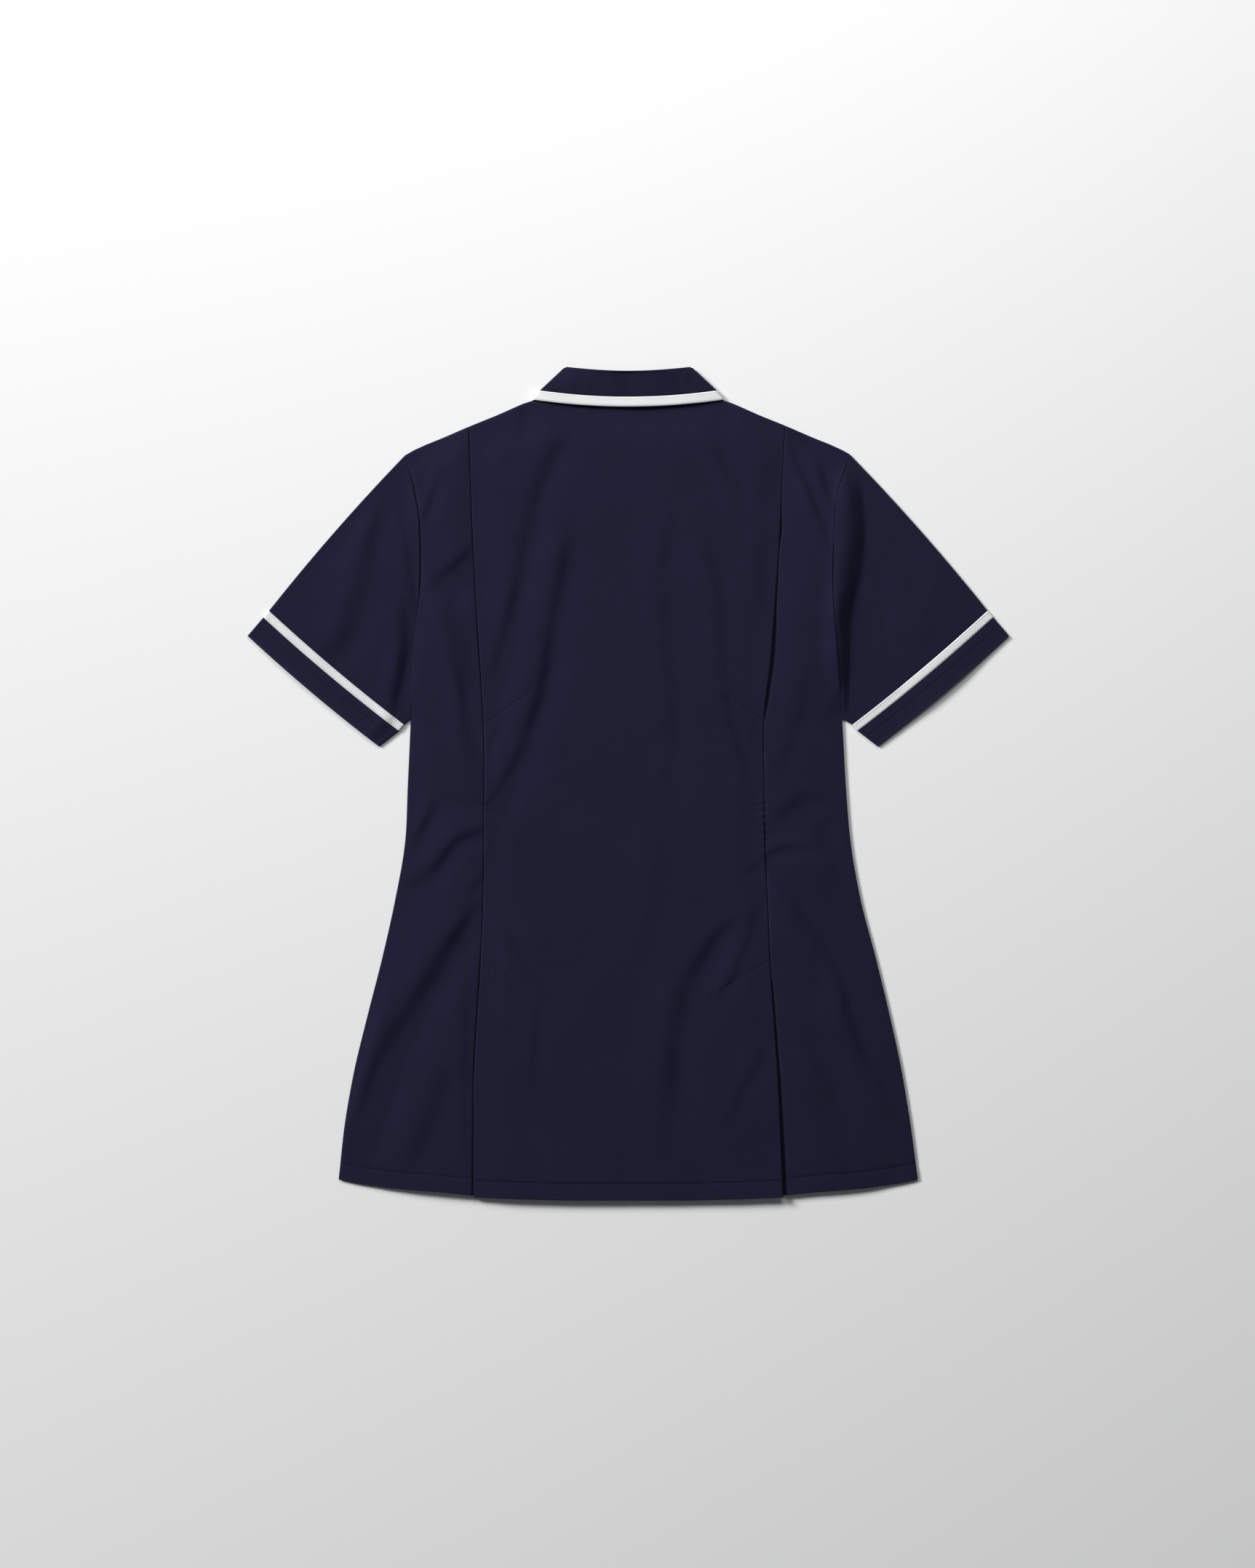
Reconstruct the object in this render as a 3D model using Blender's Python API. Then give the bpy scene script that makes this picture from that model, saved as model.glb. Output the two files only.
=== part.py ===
"""A healthcare tunic laid flat with its back upwards, built as the pieces that a maker cuts and sews.

Metres. X runs across the garment, Y runs up it from hem to collar, Z is up from the surface it lies on.
The fronts lie on the surface, and the back lies on the fronts.
"""

import bpy
import numpy as np

# Cloth. Stacked layers lie one LAYER apart, counted from 0 on the surface.
CLOTH = 0.0011
SEAM_GAP = 0.0003
LAYER = CLOTH + SEAM_GAP
FOLD_RADIUS = CLOTH + SEAM_GAP / 2
SOFTEN = 0.00025

# Body, one row for each level of the garment. The seam is the pleat and princess line between
# the centre back and the side back. The side is the side seam, and above the armpit the armhole.
SECTION_COLUMNS = ("y", "seam_left", "seam_right", "side_left", "side_right")
SECTIONS = {
    "hem": (-0.3890, 0.1445, 0.1445, 0.2703, 0.2703),
    "low_skirt": (-0.3300, 0.1442, 0.1422, 0.2644, 0.2632),
    "skirt": (-0.2740, 0.1438, 0.1397, 0.2553, 0.2547),
    "high_skirt": (-0.2196, 0.1408, 0.1360, 0.2431, 0.2438),
    "pleat_top": (-0.1640, 0.1375, 0.1323, 0.2298, 0.2312),
    "hip": (-0.1108, 0.1353, 0.1302, 0.2179, 0.2173),
    "high_hip": (-0.0564, 0.1348, 0.1274, 0.2084, 0.2077),
    "waist": (-0.0020, 0.1343, 0.1268, 0.2057, 0.2030),
    "armpit": (0.0600, 0.1350, 0.1268, 0.2030, 0.1996),
    "low_armhole": (0.1142, 0.1384, 0.1329, 0.2014, 0.1955),
    "mid_armhole": (0.1829, 0.1425, 0.1382, 0.1953, 0.1904),
    "high_armhole": (0.2414, 0.1454, 0.1419, 0.1955, 0.1916),
    "cap": (0.2850, 0.1466, 0.1437, 0.1994, 0.1945),
    "shoulder": (0.3570, 0.1486, 0.1465, 0.2090, 0.2070),
}
BODY_ROW = 0.0215
COLUMN_REACH = 0.0125
HEM_X = (0.000, 0.060, 0.100, 0.145, 0.170, 0.197, 0.225, 0.252, 0.2705)
HEM_RISE = (0.0, 0.0, 0.0011, 0.0028, 0.0056, 0.0076, 0.0101, 0.0138, 0.0175)
SIDE_HEM_SHORT = 0.0015
FRONT_HEM_SHORT = 0.0030
FRONT_INSET = 0.0005

# Neck and shoulder line, as half widths and places up the garment
NECK_HALF = 0.0760
NECK_SIDE_Y = 0.3610
BACK_NECK_Y = 0.3570
FRONT_NECK_Y = 0.2850
SHOULDER_X = (0.0760, 0.0900, 0.0976, 0.1220, 0.1490, 0.1750, 0.1885, 0.2003, 0.2098)
SHOULDER_Y = (0.3610, 0.3568, 0.3543, 0.3434, 0.3325, 0.3216, 0.3162, 0.3108, 0.3053)
LAP_HALF = 0.0150
LAP_CLEAR = 0.0020
LAP_RAMP = 0.0130
WING_CLEAR = 0.0920
WING_RAMP = 0.0150

# Pleats
UPPER_PLEAT_DEPTH = 0.039
LOWER_PLEAT_DEPTH = 0.043
SEAM_ALLOWANCE = 0.012
UPPER_PLEAT_SLANT = 0.026
LOWER_PLEAT_SLANT = 0.029
GAPE_LIFT = 0.0011
LEFT_GROOVE = 0.0030
RIGHT_GROOVE = 0.0055

# Heights above the surface, of the middle of each wall
CENTRE_LEVEL = 0.0055
CENTRE_LEAST = 0.0040
RETURN_MARGIN = 0.008
LAP_MARGIN = 0.045
SIDE_RISE = 0.0019
SIDE_BILLOW = 0.0006
LEFT_ARMHOLE_LOFT = 0.0014
RIGHT_ARMHOLE_LOFT = 0.0026
CUFF_LOFT = 0.0010
SLEEVE_LOFT = 0.0006
EDGE_REACH = 0.012
NECK_REACH = (0.008, 0.045)

# Sleeve, right-hand ends of each cross line: outer end on the overarm fold, inner end underneath
SLEEVE_LINES = {
    "braid_top": ((0.3357, 0.1613), (0.2093, 0.0546)),
    "braid_bottom": ((0.3408, 0.1553), (0.2139, 0.0490)),
    "cuff_edge": ((0.3555, 0.1381), (0.2326, 0.0345)),
}
BRAID_BOW = 0.0020
OVERARM_BOW = 0.0024
SLEEVE_ROWS = 9

# Collar, one row for each line round the neck, taken to the outside of the roll at the side.
# The front end of a line is where it meets the centre front, under the garment.
COLLAR_COLUMNS = ("half", "y_side", "y_back", "x_front", "y_front", "lift")
COLLAR_LINES = {
    "neck_seam": (0.0755, 0.3614, 0.3576, 0.0015, 0.2872, 0.0),
    "roll": (0.0592, 0.3888, 0.3849, 0.0015, 0.3110, 0.0),
    "braid_top": (0.0830, 0.3665, 0.3608, 0.0400, 0.2760, 0.0003),
    "edge": (0.0897, 0.3580, 0.3517, 0.0500, 0.2680, 0.0006),
}
ROLL_TURN = (-60.0, -30.0, 0.0, 30.0, 60.0)

# The largest folds. Start, end and sideways bow of the line, then the reach to each side and the
# height, which is negative in a trough.
FOLD_COLUMNS = ("x0", "y0", "x1", "y1", "bow", "reach", "height")
FOLDS = {
    "left_blade": (-0.060, 0.330, -0.130, 0.088, -0.0067, 0.012, -0.0014),
    "left_blade_roll": (-0.084, 0.320, -0.143, 0.120, -0.005, 0.014, 0.0008),
    "left_waist": (-0.060, 0.209, -0.126, -0.020, 0.0115, 0.012, -0.0016),
    "left_waist_roll": (-0.085, 0.215, -0.128, 0.030, 0.009, 0.012, 0.0008),
    "middle_roll": (-0.030, 0.230, -0.085, 0.000, 0.010, 0.016, 0.0009),
    "right_blade": (0.072, 0.324, 0.112, 0.245, -0.002, 0.013, -0.0009),
    "middle": (0.042, 0.257, 0.037, -0.040, -0.006, 0.013, -0.0009),
    "right_waist": (0.071, 0.226, 0.103, 0.028, 0.005, 0.012, -0.0010),
    "right_roll": (0.056, 0.240, 0.066, 0.060, 0.004, 0.014, 0.0008),
    "right_skirt": (0.092, -0.135, 0.033, -0.338, -0.010, 0.015, -0.0015),
    "right_skirt_roll": (0.112, -0.150, 0.058, -0.350, -0.012, 0.016, 0.0009),
    "right_skirt_short": (0.128, -0.116, 0.080, -0.210, -0.004, 0.012, -0.0010),
    "left_hip": (-0.138, -0.116, -0.258, -0.345, -0.010, 0.016, -0.0015),
    "left_hip_roll": (-0.160, -0.190, -0.238, -0.360, -0.006, 0.018, 0.0010),
    "left_waist_drag": (-0.150, -0.046, -0.206, -0.092, 0.004, 0.012, -0.0010),
    "right_waist_drag": (0.134, -0.047, 0.203, -0.030, 0.002, 0.012, -0.0010),
    "right_hip_drag": (0.134, -0.062, 0.212, -0.092, 0.002, 0.012, -0.0008),
    "right_hip": (0.138, -0.102, 0.214, -0.312, 0.014, 0.017, -0.0011),
    "left_side_blade": (-0.143, 0.224, -0.186, 0.186, 0.001, 0.011, -0.0011),
    "left_side_seam": (-0.158, 0.110, -0.149, 0.030, 0.000, 0.010, -0.0008),
    "right_side_top": (0.152, 0.310, 0.194, 0.214, 0.003, 0.010, -0.0008),
}
SLEEVE_FOLDS = {
    "left_sleeve": (-0.225, 0.288, -0.274, 0.112, 0.005, 0.015, -0.0009),
    "left_sleeve_roll": (-0.250, 0.262, -0.300, 0.140, 0.004, 0.016, 0.0006),
    "left_armpit": (-0.213, 0.163, -0.220, 0.070, 0.005, 0.010, -0.0014),
    "right_sleeve": (0.217, 0.292, 0.205, 0.058, -0.0095, 0.012, -0.0030),
    "right_sleeve_roll": (0.240, 0.270, 0.232, 0.075, -0.004, 0.014, 0.0010),
}
FOLD_STEPS = 20

# Materials: colour, roughness
NAVY = ((0.0137, 0.0144, 0.0319, 1.0), 0.85)
WHITE = ((0.830, 0.830, 0.835, 1.0), 0.70)

NAMES = list(SECTIONS)
TABLE = np.array([SECTIONS[name] for name in NAMES])
LAST = float(len(NAMES) - 1)
LEVELS = np.arange(LAST + 1)


def level_of(name):
    return float(NAMES.index(name))


def smooth_through(knots, values, at):
    """A smooth curve through the values, read at the given places."""
    knots = np.asarray(knots, float)
    values = np.asarray(values, float)
    slopes = np.gradient(values, knots)
    i = np.clip(np.searchsorted(knots, at, side="right") - 1, 0, len(knots) - 2)
    span = knots[i + 1] - knots[i]
    t = (at - knots[i]) / span
    start = (1 + 2 * t) * (1 - t) ** 2 * values[i] + t * (1 - t) ** 2 * span * slopes[i]
    end = t * t * (3 - 2 * t) * values[i + 1] + t * t * (t - 1) * span * slopes[i + 1]
    return start + end


def ease(low, high, at):
    """0 below low, 1 above high, and smooth between."""
    t = np.clip((at - low) / (high - low), 0.0, 1.0)
    return t * t * (3 - 2 * t)


def section(column, level):
    """A column of the sections table at a level, which may lie between two rows."""
    return smooth_through(LEVELS, TABLE[:, SECTION_COLUMNS.index(column)], level)


def body_y(level):
    return np.interp(level, LEVELS, TABLE[:, 0])


def seam_x(side, level):
    return side * section("seam_left" if side < 0 else "seam_right", level)


def side_x(side, level):
    return side * section("side_left" if side < 0 else "side_right", level)


def stacked(count):
    """Height of the middle of the wall with this many layers below it."""
    return CLOTH / 2 + LAYER * count


def settled(height, least):
    """Height kept above the least with a soft turn."""
    return least + SOFTEN * np.logaddexp(0.0, (height - least) / SOFTEN)


Y_HEM = TABLE[0, 0]
Y_PLEAT_TOP = body_y(level_of("pleat_top"))
Y_ARMPIT = body_y(level_of("armpit"))
Y_FLAT = body_y(level_of("high_armhole"))
Y_TOP = body_y(LAST)


def back_top(x):
    """The back neck in the middle and the shoulder line beyond it."""
    across = np.abs(x)
    neck = BACK_NECK_Y + (NECK_SIDE_Y - BACK_NECK_Y) * (across / NECK_HALF) ** 2
    return np.where(across < NECK_HALF, neck, np.interp(across, SHOULDER_X, SHOULDER_Y))


def front_top(x):
    """The straight-sided front neck and the shoulder line beyond it."""
    across = np.abs(x)
    neck = FRONT_NECK_Y + (NECK_SIDE_Y - FRONT_NECK_Y) * across / NECK_HALF
    return np.where(across < NECK_HALF, neck, np.interp(across, SHOULDER_X, SHOULDER_Y))


def rise(level):
    """0 up to the straight rows and 1 at the neck and shoulder line."""
    return np.clip((body_y(level) - Y_FLAT) / (Y_TOP - Y_FLAT), 0.0, 1.0)


def place_y(x, level, top=back_top, short=0.0):
    """Place up the garment of a point on a row. Rows bend with the hem, the neck and the shoulder."""
    down = np.clip((Y_PLEAT_TOP - body_y(level)) / (Y_PLEAT_TOP - Y_HEM), 0.0, 1.0)
    low = np.minimum(body_y(level), Y_FLAT) + (np.interp(np.abs(x), HEM_X, HEM_RISE) + short) * down
    return low + (top(x) - Y_FLAT) * rise(level)


def fold_heights(x, y, folds):
    """What a table's folds add to the height at these points."""
    total = np.zeros(np.broadcast(x, y).shape)
    t = np.linspace(0.0, 1.0, FOLD_STEPS)
    fade = np.sin(np.pi * np.clip(t, 0.02, 0.98)) ** 0.6
    for row in folds.values():
        fold = dict(zip(FOLD_COLUMNS, row))
        run = np.array([fold["x1"] - fold["x0"], fold["y1"] - fold["y0"]])
        aside = np.array([-run[1], run[0]]) / np.hypot(*run)
        bow = 4 * fold["bow"] * t * (1 - t)
        line_x = fold["x0"] + run[0] * t + aside[0] * bow
        line_y = fold["y0"] + run[1] * t + aside[1] * bow
        gaps = np.hypot(x[..., None] - line_x, y[..., None] - line_y)
        strength = fade[gaps.argmin(axis=-1)]
        total += fold["height"] * strength * np.exp(-((gaps.min(axis=-1) / fold["reach"]) ** 2))
    return total


def sewn_shut(level):
    """1 where the princess line is a closed seam, 0 where it is an open pleat."""
    y = body_y(level)
    low = ease(Y_PLEAT_TOP - LOWER_PLEAT_SLANT, Y_PLEAT_TOP, y)
    high = ease(Y_ARMPIT, Y_ARMPIT + UPPER_PLEAT_SLANT, y)
    return low * (1 - high)


def pleat_depth(level):
    """How far the hidden layers run under the centre back from its folded edge."""
    y = body_y(level)
    up = np.clip((y - Y_ARMPIT) / UPPER_PLEAT_SLANT, 0.0, 1.0)
    down = np.clip((Y_PLEAT_TOP - y) / LOWER_PLEAT_SLANT, 0.0, 1.0)
    return SEAM_ALLOWANCE + (UPPER_PLEAT_DEPTH - SEAM_ALLOWANCE) * up + (LOWER_PLEAT_DEPTH - SEAM_ALLOWANCE) * down


def gape(side, level):
    """How far the pleat stands open. The right-hand pleats gape, the left-hand ones are pressed shut."""
    return (1 - sewn_shut(level)) * (1 - rise(level)) * (1.0 if side > 0 else 0.15)


def return_height(x, side, level, edge_height):
    """Height of the middle of the centre back's hidden return."""
    seam = abs(seam_x(side, level))
    knots = [seam - pleat_depth(level) * 0.5, seam - FOLD_RADIUS]
    return np.interp(np.abs(x), knots, [stacked(2), edge_height - LAYER])


def centre_height(x, y, level):
    """Height of the middle of the centre back's wall."""
    across = np.abs(x)
    seam = np.where(x < 0, section("seam_left", level), section("seam_right", level))
    opening = np.where(x < 0, gape(-1, level), gape(1, level))
    depth = pleat_depth(level)
    height = CENTRE_LEVEL + fold_heights(x, y, FOLDS)
    height = height + GAPE_LIFT * opening * ease(seam - depth * 0.6, seam, across)
    height = height - (CENTRE_LEVEL - stacked(3)) * ease(seam - 0.030, seam, across) * (1 - opening)
    over_return = ease(0.0, RETURN_MARGIN, across - (seam - depth - 2 * RETURN_MARGIN))
    near_middle = ease(LAP_MARGIN, LAP_HALF + 2 * LAP_CLEAR, across)
    over_lap = near_middle * ease(Y_FLAT - 0.06, Y_FLAT - 0.03, y)
    least = CENTRE_LEAST + (stacked(3) - CENTRE_LEAST) * np.maximum(over_return, over_lap)
    height = settled(height, least)
    at_top = stacked(2) + LAYER * ease(WING_CLEAR, WING_CLEAR + WING_RAMP, across)
    return at_top + (height - at_top) * ease(*NECK_REACH, back_top(x) - y)


def armhole_loft(side, level):
    """Air under the back along the armhole, none at the armpit and the shoulder."""
    t = np.clip((level - level_of("armpit")) / (LAST - level_of("armpit")), 0.0, 1.0)
    return (LEFT_ARMHOLE_LOFT if side < 0 else RIGHT_ARMHOLE_LOFT) * np.sin(np.pi * t) ** 0.7


def side_height(x, y, side, level):
    """Height of the middle of a side back's wall, from under the centre back out to the side seam."""
    seam = abs(seam_x(side, level))
    edge = abs(side_x(side, level))
    across = np.abs(x)
    share = np.clip((across - seam) / (edge - seam), 0.0, 1.0)
    groove = LEFT_GROOVE if side < 0 else RIGHT_GROOVE
    out = SIDE_RISE * (1 - ease(0.0, 1.0, share)) + SIDE_BILLOW * np.sin(np.pi * share)
    height = stacked(1) + out + armhole_loft(side, level) * share + fold_heights(x, y, FOLDS)
    height = settled(height, stacked(1))
    below_armhole = 1 - ease(Y_ARMPIT, Y_ARMPIT + 0.03, body_y(level))
    edge_fade = 1 - below_armhole * (1 - ease(0.0, EDGE_REACH, edge - across))
    top_fade = ease(0.0, EDGE_REACH, back_top(x) - y)
    return stacked(1) + (height - stacked(1)) * ease(0.0, groove, across - seam) * edge_fade * top_fade


def new_material(name, look):
    colour, roughness = look
    material = bpy.data.materials.new(name)
    material.use_nodes = True
    shader = material.node_tree.nodes["Principled BSDF"]
    shader.inputs["Base Color"].default_value = colour
    shader.inputs["Roughness"].default_value = roughness
    material.diffuse_color = colour
    return material


def signed_volume(points, faces):
    quads = points[np.array(faces)]
    first = np.einsum("ij,ij->i", quads[:, 0], np.cross(quads[:, 1], quads[:, 2]))
    second = np.einsum("ij,ij->i", quads[:, 0], np.cross(quads[:, 2], quads[:, 3]))
    return (first + second).sum()


def wall(name, outer, inner, material, tube=False):
    """One closed solid between two grids of points with equal rows and columns.

    A tube's columns run all the way round. A plate's first and last columns are its two edges.
    """
    rows, columns = outer.shape[:2]
    points = np.concatenate([outer.reshape(-1, 3), inner.reshape(-1, 3)])
    inside = rows * columns
    steps = columns if tube else columns - 1
    faces = []
    for row in range(rows - 1):
        for column in range(steps):
            a = row * columns + column
            b = row * columns + (column + 1) % columns
            faces.append((a, b, b + columns, a + columns))
            faces.append((inside + a + columns, inside + b + columns, inside + b, inside + a))
    for column in range(steps):
        a = column
        b = (column + 1) % columns
        faces.append((inside + a, inside + b, b, a))
        a += (rows - 1) * columns
        b += (rows - 1) * columns
        faces.append((a, b, inside + b, inside + a))
    if not tube:
        for row in range(rows - 1):
            a = row * columns
            b = a + columns
            faces.append((a, b, inside + b, inside + a))
            a += columns - 1
            b += columns - 1
            faces.append((inside + a, inside + b, b, a))
    mesh = bpy.data.meshes.new(name)
    mesh.from_pydata([tuple(point) for point in points], [], faces)
    if signed_volume(points, faces) < 0:
        mesh.flip_normals()
    mesh.shade_smooth()
    mesh.set_sharp_from_angle(angle=np.radians(40))
    mesh.materials.append(material)
    made = bpy.data.objects.new(name, mesh)
    bpy.context.scene.collection.objects.link(made)
    return made


def plate(name, x, y, z, material):
    """A solid of one cloth thickness round a grid of middle points."""
    up = np.stack([x, y, z + CLOTH / 2], axis=-1)
    down = np.stack([x, y, z - CLOTH / 2], axis=-1)
    return wall(name, up, down, material)


def body_levels():
    """Levels of the body's rows, with rows of their own at the ends of the pleats."""
    stops = [
        Y_HEM,
        Y_PLEAT_TOP - LOWER_PLEAT_SLANT,
        Y_PLEAT_TOP,
        Y_ARMPIT,
        Y_ARMPIT + UPPER_PLEAT_SLANT,
        Y_FLAT,
        Y_TOP,
    ]
    rows = [Y_HEM]
    for low, high in zip(stops, stops[1:]):
        steps = max(1, round((high - low) / BODY_ROW))
        rows += [low + (high - low) * (k + 1) / steps for k in range(steps)]
    return np.interp(rows, TABLE[:, 0], LEVELS)


def armhole_levels():
    levels = body_levels()
    return levels[levels > level_of("armpit") - 0.001]


def centre_columns(level):
    """X of the centre back's columns, with columns of their own at the corners of the neck."""
    left = seam_x(-1, level) + FOLD_RADIUS
    right = seam_x(1, level) - FOLD_RADIUS
    neck_left = -NECK_HALF * left / (seam_x(-1, LAST) + FOLD_RADIUS)
    neck_right = NECK_HALF * right / (seam_x(1, LAST) - FOLD_RADIUS)
    outer_left = np.linspace(left, neck_left, 7)
    neck = np.linspace(neck_left, neck_right, 13)
    outer_right = np.linspace(neck_right, right, 7)
    return np.concatenate([outer_left[:-1], neck, outer_right[1:]])


def make_back_centre(material):
    """Centre back, with the folded edge and the hidden return of the pleat on each side."""
    turn = np.radians([-45.0, 0.0, 45.0])
    outer_rows = []
    inner_rows = []
    for level in body_levels():
        x = centre_columns(level)
        z = centre_height(x, place_y(x, level), level)
        ends = []
        for side in (-1, 1):
            edge_height = z[0] if side < 0 else z[-1]
            edge = seam_x(side, level)
            bend_x = edge - side * FOLD_RADIUS
            bend_z = edge_height - LAYER / 2
            inset = np.array([pleat_depth(level), pleat_depth(level) * 0.5, FOLD_RADIUS])
            under_x = edge - side * inset
            under_z = return_height(under_x, side, level, edge_height)
            over = side * x > abs(edge) - pleat_depth(level) - COLUMN_REACH
            z[over] = np.maximum(z[over], return_height(x[over], side, level, edge_height) + LAYER)
            line = [(px, pz, 0.0, -1.0, CLOTH / 2, -CLOTH / 2) for px, pz in zip(under_x, under_z)]
            for angle in turn:
                line.append((bend_x, bend_z, side * np.cos(angle), np.sin(angle), FOLD_RADIUS, SEAM_GAP / 2))
            ends.append(line)
        face = [(px, pz, 0.0, 1.0, CLOTH / 2, -CLOTH / 2) for px, pz in zip(x, z)]
        px, pz, nx, nz, far, near = np.array(ends[0] + face + ends[1][::-1]).T
        y = place_y(px, level)
        outer_rows.append(np.column_stack([px + nx * far, y, pz + nz * far]))
        inner_rows.append(np.column_stack([px + nx * near, y, pz + nz * near]))
    return wall("back_centre", np.array(outer_rows), np.array(inner_rows), material)


def make_back_side(side, material):
    """Side back, from its hidden extension under the pleat to the side seam and the armhole."""
    groove = LEFT_GROOVE if side < 0 else RIGHT_GROOVE
    xs, ys, zs = [], [], []
    for level in body_levels():
        seam = abs(seam_x(side, level))
        edge = abs(side_x(side, level)) - SEAM_GAP / 2
        depth = pleat_depth(level)
        near = np.array([seam - depth, seam - depth * 0.5, seam, seam + groove * 0.5])
        x = side * np.concatenate([near, np.linspace(seam + groove, edge, 9)])
        y = place_y(x, level, short=SIDE_HEM_SHORT)
        xs.append(x)
        ys.append(y)
        zs.append(side_height(x, y, side, level))
    name = "back_side_left" if side < 0 else "back_side_right"
    return plate(name, np.array(xs), np.array(ys), np.array(zs), material)


def make_front(side, material):
    """Front, flat on the surface. The right one laps over the left at the centre front."""
    levels = body_levels()
    low = levels[levels < level_of("armpit") - 0.001]
    lap_end = LAP_HALF + LAP_CLEAR + LAP_RAMP
    inner = [-LAP_HALF, 0.0, LAP_HALF + LAP_CLEAR, lap_end]
    xs, ys, zs = [], [], []
    for level in np.concatenate([low[::2], armhole_levels()]):
        edge = abs(side_x(side, level)) - FRONT_INSET
        outer = np.linspace(WING_CLEAR + WING_RAMP, edge, 5)
        x = side * np.concatenate([inner, [NECK_HALF, WING_CLEAR], outer])
        y = place_y(x, level, front_top, FRONT_HEM_SHORT)
        over_wing = ease(0.0, 0.16, rise(level))
        over_wing = over_wing * (1 - ease(WING_CLEAR, WING_CLEAR + WING_RAMP, np.abs(x)))
        over_lap = np.zeros_like(x)
        if side > 0:
            over_lap = 1 - ease(LAP_HALF + LAP_CLEAR, lap_end, x)
        xs.append(x)
        ys.append(y)
        zs.append(stacked(0) + LAYER * (over_wing + over_lap))
    name = "front_left" if side < 0 else "front_right"
    return plate(name, np.array(xs), np.array(ys), np.array(zs), material)


def cross_line(side, name):
    """Inner and outer end of a cross line of the sleeve."""
    outer, inner = np.array(SLEEVE_LINES[name]) * (side, 1.0)
    return inner, outer


def armhole_points(side, levels):
    x = side_x(side, levels)
    return np.column_stack([x + side * SEAM_GAP / 2, place_y(x, levels)])


def armhole_fractions(side, levels):
    """How far along the armhole each level lies, from 0 at the armpit to 1 at the shoulder."""
    steps = np.hypot(*np.diff(armhole_points(side, levels), axis=0).T)
    along = np.concatenate([[0.0], np.cumsum(steps)])
    return along / along[-1]


def bowed(side, inner, outer, fractions):
    """Points on a cross line of the sleeve, bowed a little towards the cuff."""
    run = outer - inner
    down = np.array([run[1], -run[0]]) * side / np.hypot(*run)
    bow = BRAID_BOW * 4 * fractions * (1 - fractions)
    return inner + run * fractions[:, None] + down * bow[:, None]


def cross_tube(name, stations, air, material):
    """A flattened tube through cross lines. Each station is its points from underarm to overarm."""
    turn = np.radians([45.0, 0.0, -45.0])
    middle = (stacked(0) + stacked(1)) / 2
    outer_rows = []
    inner_rows = []
    for points, lofts in zip(stations, air):
        along = (points[-1] - points[0]) / np.hypot(*(points[-1] - points[0]))
        line = points.copy()
        line[0] = points[0] + along * FOLD_RADIUS
        line[-1] = points[-1] - along * FOLD_RADIUS
        fade = np.minimum(1.0, np.hypot(*(line - line[0]).T) / EDGE_REACH)
        fade = fade * np.minimum(1.0, np.hypot(*(line - line[-1]).T) / EDGE_REACH)
        height = stacked(1) + lofts + fold_heights(line[:, 0], line[:, 1], SLEEVE_FOLDS)
        height = stacked(1) + (settled(height, stacked(1)) - stacked(1)) * fade
        lower = np.vstack([line[:0:-2], line[:1]])
        far = [(*p, z + CLOTH / 2) for p, z in zip(line, height)]
        near = [(*p, z - CLOTH / 2) for p, z in zip(line, height)]
        for angle in turn:
            for points_list, radius in ((far, FOLD_RADIUS), (near, SEAM_GAP / 2)):
                at = line[-1] + along * radius * np.cos(angle)
                points_list.append((*at, middle + radius * np.sin(angle)))
        far += [(*p, stacked(0) - CLOTH / 2) for p in lower]
        near += [(*p, stacked(0) + CLOTH / 2) for p in lower]
        for angle in turn[::-1]:
            for points_list, radius in ((far, FOLD_RADIUS), (near, SEAM_GAP / 2)):
                at = line[0] - along * radius * np.cos(angle)
                points_list.append((*at, middle + radius * np.sin(angle)))
        outer_rows.append(far)
        inner_rows.append(near)
    return wall(name, np.array(outer_rows), np.array(inner_rows), material, tube=True)


def make_sleeve(side, material):
    """Sleeve from the armhole to the braid, with both layers in one tube."""
    levels = armhole_levels()
    armhole = armhole_points(side, levels)
    fractions = armhole_fractions(side, levels)
    inner, outer = cross_line(side, "braid_top")
    end = bowed(side, inner, outer, fractions)
    overarm = outer - armhole[-1]
    bulge = np.array([-overarm[1], overarm[0]]) * side / np.hypot(*overarm)
    stations = []
    air = []
    for share in np.linspace(0.0, 1.0, SLEEVE_ROWS):
        bow = OVERARM_BOW * 4 * share * (1 - share) * fractions**3
        stations.append(armhole + (end - armhole) * share + bulge * bow[:, None])
        ends = armhole_loft(side, levels) * (1 - share) + CUFF_LOFT * np.sin(np.pi * fractions) * share
        air.append(ends + SLEEVE_LOFT * np.sin(np.pi * fractions) * np.sin(np.pi * share))
    return cross_tube("sleeve_left" if side < 0 else "sleeve_right", stations, air, material)


def make_band(name, side, first, last, material):
    """A short tube between two cross lines of the sleeve, a seam's gap short of the piece above it."""
    levels = armhole_levels()
    fractions = armhole_fractions(side, levels)
    top_inner, top_outer = cross_line(side, first)
    low_inner, low_outer = cross_line(side, last)
    width = np.hypot(*(low_outer - top_outer))
    stations = []
    for share in (1.1 * SEAM_GAP / width, 0.5, 1.0):
        inner = top_inner + (low_inner - top_inner) * share
        outer = top_outer + (low_outer - top_outer) * share
        stations.append(bowed(side, inner, outer, fractions))
    return cross_tube(name, stations, [CUFF_LOFT * np.sin(np.pi * fractions)] * 3, material)


def collar_line(first, last, share):
    """A collar line part way between two named lines."""
    low = np.array(COLLAR_LINES[first])
    high = np.array(COLLAR_LINES[last])
    return dict(zip(COLLAR_COLUMNS, low + (high - low) * share))


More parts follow.
